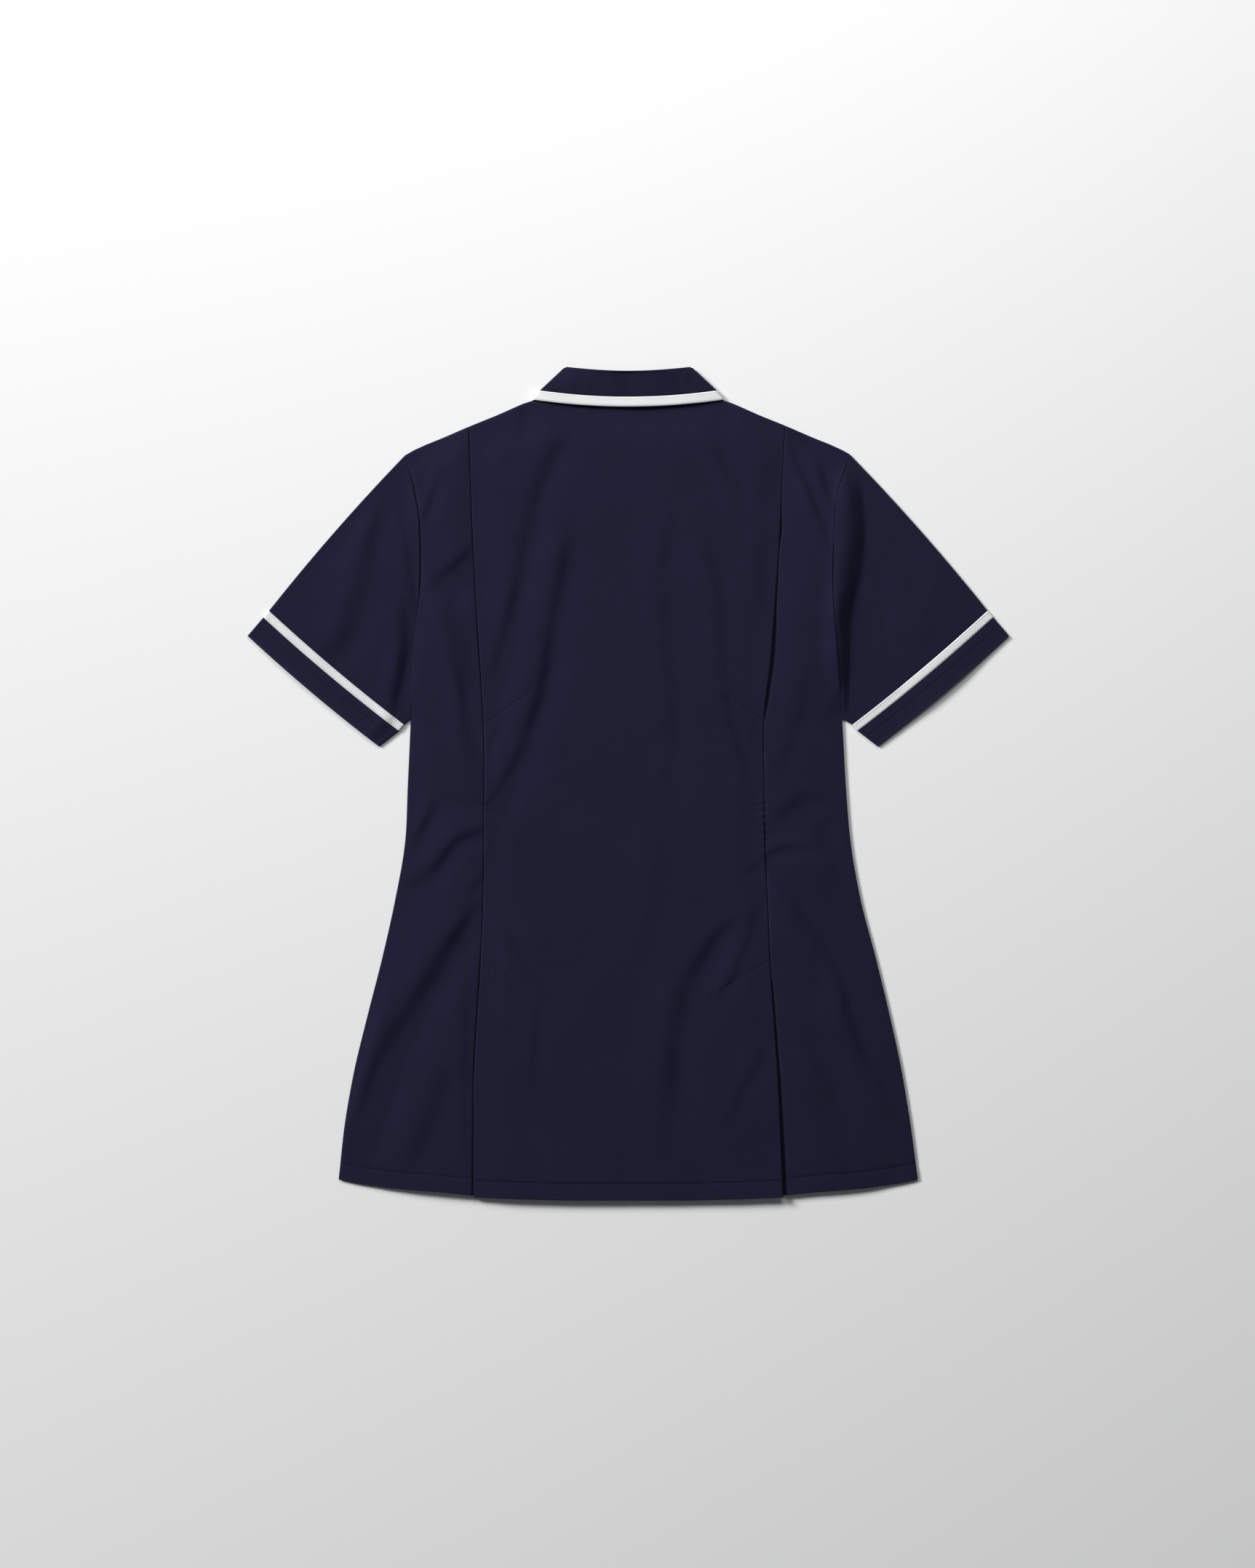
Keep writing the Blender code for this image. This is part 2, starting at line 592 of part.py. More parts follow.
def collar_row(line, distance, beyond=0.0):
    """Points round the neck from the left front end, over the back, to the right front end.

    The distance is measured from the middle of the flattened ring. Beyond moves the row up the garment.
    """
    middle = (stacked(1) + stacked(2)) / 2
    half = line["half"] - 2 * LAYER + SEAM_GAP / 2
    y_side = line["y_side"] + beyond
    y_back = line["y_back"] + beyond
    y_front = line["y_front"] + beyond
    front_x = np.linspace(line["x_front"], half, 9)
    front_y = np.linspace(y_front, y_side, 9)
    back_x = np.linspace(-half, half, 17)
    back_y = y_back + (y_side - y_back) * (back_x / half) ** 2
    lift = line["lift"] * (1 - (back_x / half) ** 4)
    points = [(-x, y, middle - distance) for x, y in zip(front_x, front_y)]
    for angle in np.radians(ROLL_TURN):
        points.append((-half - distance * np.cos(angle), y_side, middle + distance * np.sin(angle)))
    points += [(x, y, middle + distance + up) for x, y, up in zip(back_x, back_y, lift)]
    for angle in np.radians(ROLL_TURN[::-1]):
        points.append((half + distance * np.cos(angle), y_side, middle + distance * np.sin(angle)))
    points += [(x, y, middle - distance) for x, y in zip(front_x[::-1], front_y[::-1])]
    return points


def make_collar(material):
    """Collar in one piece. The stand goes up inside, rolls over and falls outside to the braid."""
    stand = LAYER / 2
    fall = stand + LAYER
    outer_rows = []
    inner_rows = []
    for share in (0.0, 0.5, 0.9):
        line = collar_line("neck_seam", "roll", share)
        outer_rows.append(collar_row(line, stand + CLOTH / 2))
        inner_rows.append(collar_row(line, stand - CLOTH / 2))
    roll = collar_line("neck_seam", "roll", 1.0)
    for angle in np.radians([0.0, 45.0, 90.0, 135.0, 180.0]):
        across = -np.cos(angle)
        up = np.sin(angle)
        centre = (stand + fall) / 2
        inner_rows.append(collar_row(roll, centre + FOLD_RADIUS * across, FOLD_RADIUS * (up - 1)))
        outer_rows.append(collar_row(roll, centre + SEAM_GAP / 2 * across, SEAM_GAP / 2 * up - FOLD_RADIUS))
    for share in (0.3, 0.65, 1.0):
        line = collar_line("roll", "braid_top", share)
        outer_rows.append(collar_row(line, fall - CLOTH / 2))
        inner_rows.append(collar_row(line, fall + CLOTH / 2))
    return wall("collar", np.array(outer_rows), np.array(inner_rows), material)


def make_collar_trim(material):
    """White braid that binds the collar's outer edge."""
    fall = 1.5 * LAYER
    outer_rows = []
    inner_rows = []
    for share in (0.05, 0.5, 1.0):
        line = collar_line("braid_top", "edge", share)
        outer_rows.append(collar_row(line, fall + CLOTH / 2))
        inner_rows.append(collar_row(line, fall - CLOTH / 2))
    return wall("collar_trim", np.array(outer_rows), np.array(inner_rows), material)


def main():
    for old in list(bpy.data.objects):
        bpy.data.objects.remove(old, do_unlink=True)
    navy = new_material("navy_cloth", NAVY)
    white = new_material("white_braid", WHITE)
    make_back_centre(navy)
    for side, hand in ((-1, "left"), (1, "right")):
        make_back_side(side, navy)
        make_front(side, navy)
        make_sleeve(side, navy)
        make_band("sleeve_trim_" + hand, side, "braid_top", "braid_bottom", white)
        make_band("cuff_" + hand, side, "braid_bottom", "cuff_edge", navy)
    make_collar(navy)
    make_collar_trim(white)


main()
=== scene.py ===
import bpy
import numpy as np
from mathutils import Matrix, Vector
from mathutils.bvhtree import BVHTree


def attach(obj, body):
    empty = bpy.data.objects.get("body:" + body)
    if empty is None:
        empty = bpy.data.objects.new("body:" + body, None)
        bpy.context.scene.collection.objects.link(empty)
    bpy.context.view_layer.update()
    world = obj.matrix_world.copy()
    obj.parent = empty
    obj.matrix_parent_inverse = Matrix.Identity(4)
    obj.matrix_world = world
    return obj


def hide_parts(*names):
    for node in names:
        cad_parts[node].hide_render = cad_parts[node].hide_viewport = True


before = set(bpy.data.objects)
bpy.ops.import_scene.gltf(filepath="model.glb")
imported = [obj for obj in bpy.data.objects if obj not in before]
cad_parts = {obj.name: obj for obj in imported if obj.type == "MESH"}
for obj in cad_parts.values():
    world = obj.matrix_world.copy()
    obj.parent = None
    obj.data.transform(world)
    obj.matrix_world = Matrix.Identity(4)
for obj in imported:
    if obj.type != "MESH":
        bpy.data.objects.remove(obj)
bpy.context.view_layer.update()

# A healthcare tunic laid flat with its back upwards: the woven cloth, its folds, the pleats, the
# stitching and the white braid. Metres, in the same frame and with the same sizes as the solids.
# X runs across the garment, Y runs up it from hem to collar, Z is up from the floor it lies on.

MM = 0.001

# Cloth as it shows. Stacked layers lie one LAYER apart, counted from 0 on the floor.
CLOTH = 0.0009
FIRST_LAYER = 0.00055
LAYER = 0.0014
SEAM_GAP = 0.0003
FOLD_RADIUS = 0.00125
SOFTEN = 0.00025
RIM = 0.4

# Body sections, as in the solids: seam between centre and side back, then side seam or armhole
SECTION_COLUMNS = ("y", "seam_left", "seam_right", "side_left", "side_right")
SECTIONS = {
    "hem": (-0.3890, 0.1445, 0.1445, 0.2703, 0.2703),
    "low_skirt": (-0.3300, 0.1442, 0.1422, 0.2644, 0.2632),
    "skirt": (-0.2740, 0.1438, 0.1397, 0.2553, 0.2547),
    "high_skirt": (-0.2196, 0.1408, 0.1360, 0.2431, 0.2438),
    "pleat_top": (-0.1640, 0.1375, 0.1323, 0.2298, 0.2312),
    "hip": (-0.1108, 0.1353, 0.1302, 0.2179, 0.2173),
    "high_hip": (-0.0564, 0.1348, 0.1274, 0.2084, 0.2077),
    "waist": (-0.0020, 0.1343, 0.1268, 0.2057, 0.2030),
    "armpit": (0.0600, 0.1350, 0.1268, 0.2030, 0.1996),
    "low_armhole": (0.1142, 0.1384, 0.1329, 0.2014, 0.1955),
    "mid_armhole": (0.1829, 0.1425, 0.1382, 0.1953, 0.1904),
    "high_armhole": (0.2414, 0.1454, 0.1419, 0.1955, 0.1916),
    "cap": (0.2850, 0.1466, 0.1437, 0.1994, 0.1945),
    "shoulder": (0.3570, 0.1486, 0.1465, 0.2090, 0.2070),
}
HEM_X = (0.000, 0.060, 0.100, 0.145, 0.170, 0.197, 0.225, 0.252, 0.2705)
HEM_RISE = (0.0, 0.0, 0.0011, 0.0028, 0.0056, 0.0076, 0.0101, 0.0138, 0.0175)
SIDE_HEM_SHORT = 0.0015
FRONT_HEM_SHORT = 0.0030
FRONT_INSET = 0.0005
NECK_HALF = 0.0760
NECK_SIDE_Y = 0.3610
BACK_NECK_Y = 0.3570
FRONT_NECK_Y = 0.2850
SHOULDER_X = (0.0760, 0.0900, 0.0976, 0.1220, 0.1490, 0.1750, 0.1885, 0.2003, 0.2098)
SHOULDER_Y = (0.3610, 0.3568, 0.3543, 0.3434, 0.3325, 0.3216, 0.3162, 0.3108, 0.3053)
LAP_HALF = 0.0150
LAP_CLEAR = 0.0020
LAP_RAMP = 0.0130
WING_CLEAR = 0.0920
WING_RAMP = 0.0150
WING_RISE = 0.16

# Pleats
UPPER_PLEAT_DEPTH = 0.039
LOWER_PLEAT_DEPTH = 0.043
SEAM_ALLOWANCE = 0.012
UPPER_PLEAT_SLANT = 0.026
LOWER_PLEAT_SLANT = 0.029
GAPE_LIFT = {-1: 0.0005, 1: 0.0015}
SHUT_GROOVE = 0.0007
OPEN_GROOVE = 0.0050
LEFT_OPENING = 0.10
LOWER_OPENING_CURVE = 0.7
GAPE_SHARE = 0.6
UPPER_OPENING = (
    (0.0594, 0.0), (0.0706, 0.50), (0.098, 0.80), (0.118, 1.0), (0.138, 0.85), (0.165, 0.42),
    (0.195, 0.24), (0.211, 0.06), (0.220, 0.10), (0.232, 0.42), (0.246, 0.34),
    (0.257, 0.10), (0.266, 0.03), (0.357, 0.0),
)

# Heights of the middle of the cloth
CENTRE_LEVEL = 0.0066
CENTRE_LEAST = 0.0042
SEAM_SINK_REACH = 0.030
RETURN_MARGIN = 0.008
LAP_MARGIN = 0.045
LAP_FADE = (0.06, 0.03)
SIDE_RISE = {-1: 0.0028, 1: 0.0026}
SIDE_BILLOW = 0.0012
SIDE_CLEAR = 0.0002
ARMHOLE_LOFT = {-1: 0.0024, 1: 0.0068}
LOFT_CURVE = 0.7
LOFT_SPREAD = 1.1
ARMPIT_FADE = 0.03
RIGHT_STEP = (0.0003, -0.0006)
LEFT_STEP = (-0.0008, 0.0005)
LEFT_STEP_Y = (0.150, 0.190)
LEFT_STEP_BACK = 0.15
CUFF_LOFT = 0.0012
SLEEVE_LOFT = 0.0022
EDGE_REACH = 0.014
TOP_REACH = 0.030
NECK_REACH = (0.008, 0.045)
EDGE_TUCK = 0.00035
EDGE_TUCK_REACH = 0.004
TIP_SHARES = (0.6, 1.0)
TOP_FADE_SHARES = (-0.10, 0.45)
SEAM_CLEAR = 0.004

# Sleeve cross lines, right-hand ends: outer end on the overarm fold, inner end underneath
SLEEVE_LINES = {
    "braid_top": ((0.3357, 0.1613), (0.2093, 0.0546)),
    "braid_bottom": ((0.3408, 0.1553), (0.2139, 0.0490)),
    "cuff_edge": ((0.3555, 0.1381), (0.2326, 0.0345)),
}
SLEEVE_WIDTH = 0.17
SLEEVE_LENGTH = 0.17
ARMHOLE_PUCKER_STEP = 0.05
ARMHOLE_PUCKER_REACH = 0.007
BRAID_BOW = 0.0020
OVERARM_BOW = 0.0024

# Collar lines round the neck
COLLAR_COLUMNS = ("half", "y_side", "y_back", "x_front", "y_front", "lift")
COLLAR_LINES = {
    "neck_seam": (0.0755, 0.3614, 0.3576, 0.0015, 0.2872, 0.0),
    "roll": (0.0592, 0.3888, 0.3849, 0.0015, 0.3110, 0.0),
    "braid_top": (0.0830, 0.3665, 0.3608, 0.0400, 0.2760, 0.00096),
    "edge": (0.0897, 0.3580, 0.3517, 0.0500, 0.2680, 0.00192),
}
ROLL_TURN = (-75.0, -50.0, -25.0, 0.0, 25.0, 50.0, 75.0)
COLLAR_RAISED = 0.0042
COLLAR_FALL = 1.5 * LAYER
COLLAR_RIPPLE = 0.00012
COLLAR_WAVES = ((1.0, 61, 0.6), (0.6, 137, 0.0))
TRIM_RIPPLE = 0.00025
TRIM_PROUD = 0.0001
COLLAR_FRONT_POINTS = 34
COLLAR_BACK_POINTS = 75
STAND_SHARES = np.linspace(0.0, 0.95, 10)
ROLL_ANGLES = np.radians(np.linspace(0.0, 180.0, 9))
FALL_SHARES = np.linspace(0.06, 0.99, 14)
TRIM_SHARES = np.linspace(0.05, 1.0, 9)

# Folds, in millimetres. The line is the middle of the slope that faces away from the key light: the
# cloth swells on the lit side of it and sinks on the other. Reach is how far the slope runs to each
# side of the line, from its first end to its last where two are given. Outer is how far the swell and
# the hollow fade beyond it, on the lit side and on the far side where two are given.
LIT_FROM = (-0.82, 0.57)
FOLD_FADE = 0.030
FOLD_FADE_SHARE = 0.45
FOLD_FADE_BEYOND = 0.6
FOLD_CREST = 0.8
FOLD_DEPTH_WAVES = ((0.16, 47, 1.7), (0.10, 121, 1.0))
FOLD_COLUMNS = ("line", "reach", "outer", "swell", "depth")
CENTRE_FOLDS = {
    "left_blade": (
        ((-60, 331), (-76, 299), (-87, 269), (-96.5, 234), (-101.5, 206), (-106, 180), (-114, 149),
         (-122, 120), (-131, 86), (-137, 62)),
        (10, 6.5), (18, 13), 1.1, 1.4,
    ),
    "left_waist": (
        ((-58, 225), (-62, 202), (-68, 168), (-74.5, 136), (-79, 104), (-84, 79), (-92, 57),
         (-101.5, 31), (-114, 5), (-122, -10), (-138, -33)),
        (9, 8), (19, 15), 1.5, 1.8,
    ),
    "left_waist_top": (((-57, 264), (-58, 225), (-60, 195)), 8, 10, 0.3, 0.4),
    "left_between": (((-103, 140), (-111, 117), (-120, 82)), 4, 7, 0.25, 0.35),
    "middle": (
        ((38, 252), (35, 225), (32, 193), (33.5, 161), (35, 130), (38, 98), (40, 66), (38, 35), (36, -20)),
        8, 17, 0.5, 0.6,
    ),
    "middle_low": (((30, -60), (24, -110), (12, -160)), 11, 16, 0.4, 0.5),
    "right_blade": (((68, 336), (82, 310), (93, 285), (109, 263), (127, 250)), 6.5, 11, 0.7, 0.9),
    "right_waist": (
        ((73, 228), (75, 215), (81, 187), (86, 155), (87.5, 123), (90.5, 82),
         (95, 57), (101.5, 35), (111, 9)),
        (6.5, 4.5), 12, 0.5, 0.7,
    ),
    "right_edge": (((127, 235), (125, 195), (121, 150)), 5, 8, 0.2, 0.4),
    "left_nick": (((-109, 328), (-84, 335)), 4, 7, 0.3, 0.5),
    "left_pleat_pull": (((-128, 66), (-117, 40), (-112, 12)), 4, 6, 0.3, 0.4),
    "left_pleat_pull_short": (((-120, 62), (-126, 46), (-131, 32)), 3.5, 5, 0.4, 0.6),
    "right_pleat_pull": (((121, 60), (113, 34)), 4, 6, 0.3, 0.3),
    "right_waist_pull": (((128, -68), (116, -79), (104, -85)), 4, 6, 0.3, 0.5),
    "waist_soft": (((-40, 20), (20, -20), (100, -30)), 16, 26, 0.3, 0.4),
    "right_skirt": (
        ((99, -126), (85.5, -137), (67.5, -164), (55, -185.5), (47.5, -210),
         (41.5, -240), (40, -270), (38, -300)),
        (8.5, 14), (20, 18), 1.2, 1.5,
    ),
    "right_skirt_low": (((40, -290), (30, -350)), 10, 13, 0.4, 0.5),
    "right_skirt_short": (
        ((127, -105), (117.5, -122), (111.5, -146), (104, -161), (96, -182), (88.5, -192), (79, -203)),
        5.5, 10, 0.5, 0.8,
    ),
    "right_hem": (((129, -238), (119, -264), (107, -282.5), (97.5, -307), (88, -320)), 6, 10, 0.4, 0.6),
    "left_skirt_pull": (
        ((-132, -112), (-114, -137), (-104, -158), (-80, -186), (-68, -198)),
        5.5, 10, 0.7, 0.9,
    ),
    "left_skirt": (((-83, -205), (-87, -235), (-91, -285)), 5.5, 10, 0.5, 0.6),
    "left_hem": (((-137, -296), (-114, -319), (-96, -337), (-83, -358)), 7, 10, 0.7, 0.9),
    "neck_left": (((-25, 352), (-40, 322)), 5, 8, 0.2, 0.3),
    "neck_right": (((22, 350), (33, 318)), 5, 8, 0.2, 0.3),
}
SIDE_FOLDS = {
    "left_blade": (
        ((-145.5, 221), (-154, 212.5), (-168, 200), (-179, 191), (-186, 183)),
        (5, 6.5), 11, 0.8, 1.3,
    ),
    "left_hollow": (((-176, 182), (-166, 150), (-156, 115), (-148, 75)), 12, 12, 0.9, 1.5),
    "left_hollow_top": (((-144, 206), (-160, 192), (-176, 178)), 12, (8, 16), 0.4, 1.7),
    "left_shoulder": (((-176, 288), (-186, 262), (-193, 243)), 4, 7, 0.5, 0.7),
    "left_cap": (((-191, 300), (-195, 280)), 4, 6, 0.35, 0.5),
    "left_seam": (((-165, 116), (-157, 93), (-154.5, 65), (-150, 42), (-146, 20)), (4.5, 7), 10, 0.8, 1.2),
    "left_waist_soft": (((-172, 3), (-160, -8), (-132, -22)), 8, 10, 0.5, 1.0),
    "left_waist_high": (((-180, -16), (-187, -32), (-198, -50), (-209, -66)), 5.5, 9, 0.9, 1.4),
    "left_waist": (
        ((-134, -44), (-156, -51), (-165, -58), (-173, -69), (-184, -81), (-197, -90), (-210, -97)),
        (6, 8), 12, 1.2, 1.7,
    ),
    "left_hip_nick": (((-136, -87), (-150, -104)), 5, 8, 0.5, 0.8),
    "left_hip": (
        ((-142, -115), (-153, -130), (-174, -163), (-202, -208), (-224, -241),
         (-241, -278), (-256, -320), (-263, -352)),
        (13, 16), (24, 18), 2.3, 2.6,
    ),
    "left_hip_crease": (((-134, -101), (-148, -121), (-158, -135), (-176, -162)), 4, 7, 0.25, 0.45),
    "left_under": (((-153, -190), (-153, -260), (-152, -350)), 6, 9, 0.3, 0.7),
    "left_hem": (((-168, -265), (-183, -304), (-192, -331), (-208, -358)), 12, 15, 1.1, 1.5),
    "right_top": (
        ((149, 318), (158, 295), (166.5, 277), (174, 257), (181, 240), (189, 221)),
        4.5, 9, 1.0, 1.4,
    ),
    "right_shoulder": (
        ((171, 320), (176, 302), (180.5, 285), (185.5, 270), (191, 254)),
        (6.5, 4), 9, 0.9, 1.4,
    ),
    "right_blade": (((170, 112), (164, 84.5), (155.5, 53.5), (144, 25.5), (135.5, 0)), 8, 13, 0.45, 0.6),
    "right_waist_arch": (
        ((126, -42), (147, -24), (161, -15), (176, -14), (192, -22)),
        10, (13, 34), 0.7, 1.4,
    ),
    "right_waist_hollow": (((172, -42), (190, -39), (210, -41)), 9, (9, 12), 0.4, 1.3),
    "right_waist_high": (((124, -70), (144, -60), (159, -59), (175, -61)), 5, 8, 0.6, 1.0),
    "right_waist": (((180, -62), (190, -72), (199, -81), (216, -88)), 6.5, 9, 0.9, 1.5),
    "right_hip_nick": (((216, -94), (198, -108)), 4, 5, 0.5, 0.7),
    "right_hip": (
        ((124, -82), (147, -104), (156, -116), (165, -129), (176, -145), (193, -175),
         (206, -220), (222, -258), (240, -289), (253, -314)),
        (6.5, 11), 16, 1.3, 1.6,
    ),
    "right_hip_mid": (((169, -156), (174, -180), (177, -206)), 6.5, 10, 0.3, 0.4),
    "right_seam": (((134, -164), (155, -183)), 4, 6, 0.4, 0.6),
    "right_skirt": (((149, -238), (167, -252), (186, -282), (195, -298)), 8, 13, 0.7, 0.9),
    "right_low": (((166, -296), (186, -320), (206, -352)), 14, 16, 0.9, 1.1),
}
SLEEVE_FOLDS = {
    "left_upper": (
        ((-222, 288), (-233, 259), (-240, 231), (-245.5, 205), (-252.5, 177), (-258, 158), (-279, 112)),
        (8, 13), (14, 18), 1.1, 1.7,
    ),
    "left_crease": (
        ((-220, 286), (-214.5, 253), (-207.5, 219), (-203, 188.5), (-198.5, 158)),
        3.5, 8, 0.3, 0.6,
    ),
    "left_armpit": (((-211, 164), (-209, 130), (-213, 104), (-217, 82), (-219, 62)), 7, (10, 8), 1.7, 2.1),
    "left_cuff_corner": (((-240, 34), (-219, 60)), 6, (12, 8), 1.5, 0.6),
    "right_armhole": (
        ((219, 302), (218.5, 270), (216.5, 240), (213, 212), (208, 183), (203.5, 155),
         (203, 127), (204, 99), (206.5, 66)),
        (18, 9), (9, 34), 2.8, 7.2,
    ),
    "right_cuff_corner": (((224, 57), (239, 38)), 5, 7, 0.4, 0.4),
    "right_upper": (((262, 262), (258, 200), (250, 130)), 9, 14, 0.2, 0.3),
    "right_cuff": (((300, 190), (268, 120)), 11, 14, 0.2, 0.3),
    "left_cuff": (((-303, 185), (-285, 140)), 10, 14, 0.2, 0.3),
}
COLLAR_FOLDS = {
    "middle": (((-14, 383), (-6, 372), (4, 364)), 6, 9, 0.45, 0.75),
    "left": (((-46, 381), (-52, 366)), 4.5, 8, 0.20, 0.30),
    "left_inner": (((-30, 383), (-33, 368)), 4, 7, 0.15, 0.20),
    "right_inner": (((27, 381), (31, 366)), 3.5, 5, 0.20, 0.26),
    "right": (((40, 381), (45, 367)), 3, 4, 0.18, 0.24),
    "right_outer": (((53, 382), (57, 370)), 3, 4, 0.15, 0.20),
}
FRONT_FOLDS = {
    "left_breast": (((-70, 240), (-98, 150), (-88, 60)), 8, 12, 0.9, 0.0),
    "left_waist": (((-40, 70), (-55, -10), (-96, -80)), 7, 12, 1.1, 0.0),
    "left_skirt": (((-120, -150), (-82, -235), (-70, -330)), 9, 12, 0.9, 0.0),
    "left_hip": (((-38, -120), (-52, -230)), 8, 11, 0.7, 0.0),
    "right_breast": (((60, 225), (92, 160), (104, 85)), 8, 11, 1.0, 0.0),
    "right_waist": (((48, 60), (70, -20), (66, -110)), 7, 12, 0.9, 0.0),
    "right_skirt": (((110, -110), (76, -210), (86, -320)), 9, 13, 1.1, 0.0),
    "right_hem": (((50, -260), (60, -340)), 7, 10, 0.6, 0.0),
}

# Soft unevenness all over: long low waves, in millimetres but for the turn, and shallow dents
# scattered with a fixed seed
WAVE_COLUMNS = ("across", "up", "turn", "height")
WAVE_BEND = 0.7
WAVE_BEND_RATE = 17
WAVES = (
    (131, 560, 0.4, 0.13),
    (-83, 310, 1.9, 0.07),
    (290, 97, 4.1, 0.08),
)
SIDE_UNEVENNESS = 1.2
SLEEVE_UNEVENNESS = 0.8
FRONT_UNEVENNESS = 0.5
FRONT_TOP_FADE = (0.02, 0.01)
FRONT_HEM_FADE = 0.03
DENT_COUNT = 280
DENT_SEED = 4
DENT_FIELD = (0.36, 0.39)
DENT_RADIUS = (0.010, 0.028)
DENT_STRETCH = 1.5
DENT_HEIGHT = 0.00050

# Sewing
HEM_STITCH = 0.0158
HEM_BAND = 0.00010
HEM_BAND_FADE = 0.008
HEM_LINE_DIP = 0.00034
HEM_LINE_REACH = (0.0032, 0.0008)
STITCH_SPACING = 0.0026
STITCH_LENGTH = 0.0021
STITCH_VARY = (0.88, 1.08)
DROP_HEIGHT = 0.05
LINE_STEP = 0.004
THREAD = 0.00052
STITCH_SIT = 0.15
PUCKER_LENGTH = 0.0085
PUCKER_HEIGHT = 0.00017
PUCKER_REACH = 0.006
PUCKER_DRIFT = 1.3
PUCKER_DRIFT_RATE = 53
PUCKER_VARY = 0.4
PUCKER_VARY_RATE = 31
FAINT_PUCKER_HEIGHT = PUCKER_HEIGHT * 0.8
ARMHOLE_PUCKER_HEIGHT = PUCKER_HEIGHT * 1.3
HEM_PUCKER_HEIGHT = 0.00013
HEM_PUCKER_REACH = 0.010
HEM_PUCKER_SLANT = 0.5
HEM_PUCKER_MIDDLE = 0.6
HEM_EDGE = 0.002
WAIST_PUCKERS_Y = (-0.076, -0.060, -0.018, -0.006)
WAIST_PUCKER_LENGTH = 0.0066
WAIST_PUCKER_HEIGHT = 0.00048
WAIST_PUCKER_REACH = 0.0075

# Slanted stitching that holds each pleat's end, in millimetres
SLANTS = {
    "upper_left": ((-133, 58), (-93, 86)),
    "upper_right": ((127, 59), (88, 83)),
    "lower_left": ((-138, -164), (-93, -194)),
    "lower_right": ((130, -164), (85, -192)),
}
SLANT_DIP = 0.00048
SLANT_REACH = 0.0011
SLANT_PUCKER_REACH = 0.005

# Dips beside the seams of the sleeve, the crowned braid and the cuff's stitching line
ARMHOLE_DIP_REACH = 0.0025
BAND_GAP = 0.00033
BAND_DIP = 0.0003
BAND_DIP_REACH = 0.002
BRAID_PROUD = 0.00025
BRAID_THICKNESS = 0.0011
BRAID_CROWN = 0.00025
BRAID_EDGE = 0.0014
BRAID_STITCH = 0.0012
BRAID_STITCH_DIP = 0.00012
CUFF_STITCH = 0.0082
CUFF_STITCH_DIP = 0.00014
CUFF_STITCH_REACH = 0.0011

# Pale edges, partly real wear and partly a painted highlight where folded edges, the hem and the collar's
# roll catch the light; paler the higher the value: how much, and how far in
SEAM_WEAR_AND_HIGHLIGHT = 0.15
HEM_WEAR_AND_HIGHLIGHT = 0.6
FOLD_WEAR_AND_HIGHLIGHT = 0.7
WEAR_AND_HIGHLIGHT_REACH = 0.0012
FOLD_WEAR_AND_HIGHLIGHT_REACH = 0.0010
FRONT_WEAR_AND_HIGHLIGHT_REACH = 0.0022
BAND_WEAR_AND_HIGHLIGHT_REACH = 0.0016
ROLL_WEAR_AND_HIGHLIGHT = 0.5
FALL_WEAR_AND_HIGHLIGHT = 0.3
FALL_WEAR_AND_HIGHLIGHT_SHARE = 0.05

# Sampling of the shown cloth, with the sizes that its steps are counted on
BEND_POINTS = 7
BEND_HALF = 67.5
BEND_PROUD = 0.0001
RETURN_POINTS = 9
HIDDEN_POINTS = 12
FRONT_OUTER_POINTS = 26
SIDE_WIDTH = 0.075
ROW_STEP = 0.0031
WAIST_ROW_STEP = 0.0015
COLUMN_STEP = 0.0023
FRONT_ROW_STEP = 0.0048
FRONT_COLUMN_STEP = 0.0042
HEM_ROWS = (0.0, 0.0010, 0.0028, 0.0056, 0.0090, 0.0122, 0.0140, 0.0150, 0.0158, 0.0165, 0.0173, 0.0192)

HAND = {-1: "left", 1: "right"}
NAMES = list(SECTIONS)
TABLE = np.array([SECTIONS[name] for name in NAMES])
LAST = float(len(NAMES) - 1)
LEVELS = np.arange(LAST + 1)


def level_of(name):
    return float(NAMES.index(name))


def smooth_through(knots, values, at):
    """A smooth curve through the values, read at the given places."""
    knots = np.asarray(knots, float)
    values = np.asarray(values, float)
    if len(knots) < 3:
        return np.interp(at, knots, values)
    slopes = np.gradient(values, knots)
    i = np.clip(np.searchsorted(knots, at, side="right") - 1, 0, len(knots) - 2)
    span = knots[i + 1] - knots[i]
    t = (at - knots[i]) / span
    start = (1 + 2 * t) * (1 - t) ** 2 * values[i] + t * (1 - t) ** 2 * span * slopes[i]
    end = t * t * (3 - 2 * t) * values[i + 1] + t * t * (t - 1) * span * slopes[i + 1]
    return start + end


def ease(low, high, at):
    """0 below low, 1 above high, and smooth between."""
    t = np.clip((at - low) / (high - low), 0.0, 1.0)
    return t * t * (3 - 2 * t)


def bell(at, width):
    """1 at 0, falling away smoothly to both sides."""
    return np.exp(-((at / width) ** 2))


def section(column, level):
    return smooth_through(LEVELS, TABLE[:, SECTION_COLUMNS.index(column)], level)


def body_y(level):
    return np.interp(level, LEVELS, TABLE[:, 0])


def level_at(y):
    return np.interp(y, TABLE[:, 0], LEVELS)


def seam_x(side, level):
    return side * section("seam_" + HAND[side], level)


def side_x(side, level):
    return side * section("side_" + HAND[side], level)


def seam_beside(x, level):
    """How far out the seam lies on the side of the garment that x is on."""
    return np.where(x < 0, section("seam_left", level), section("seam_right", level))


def stacked(count):
    """Height of the middle of the cloth with this many layers below it."""
    return FIRST_LAYER + LAYER * count


def settled(height, least):
    """Height kept above the least with a soft turn."""
    return least + SOFTEN * np.logaddexp(0.0, (height - least) / SOFTEN)


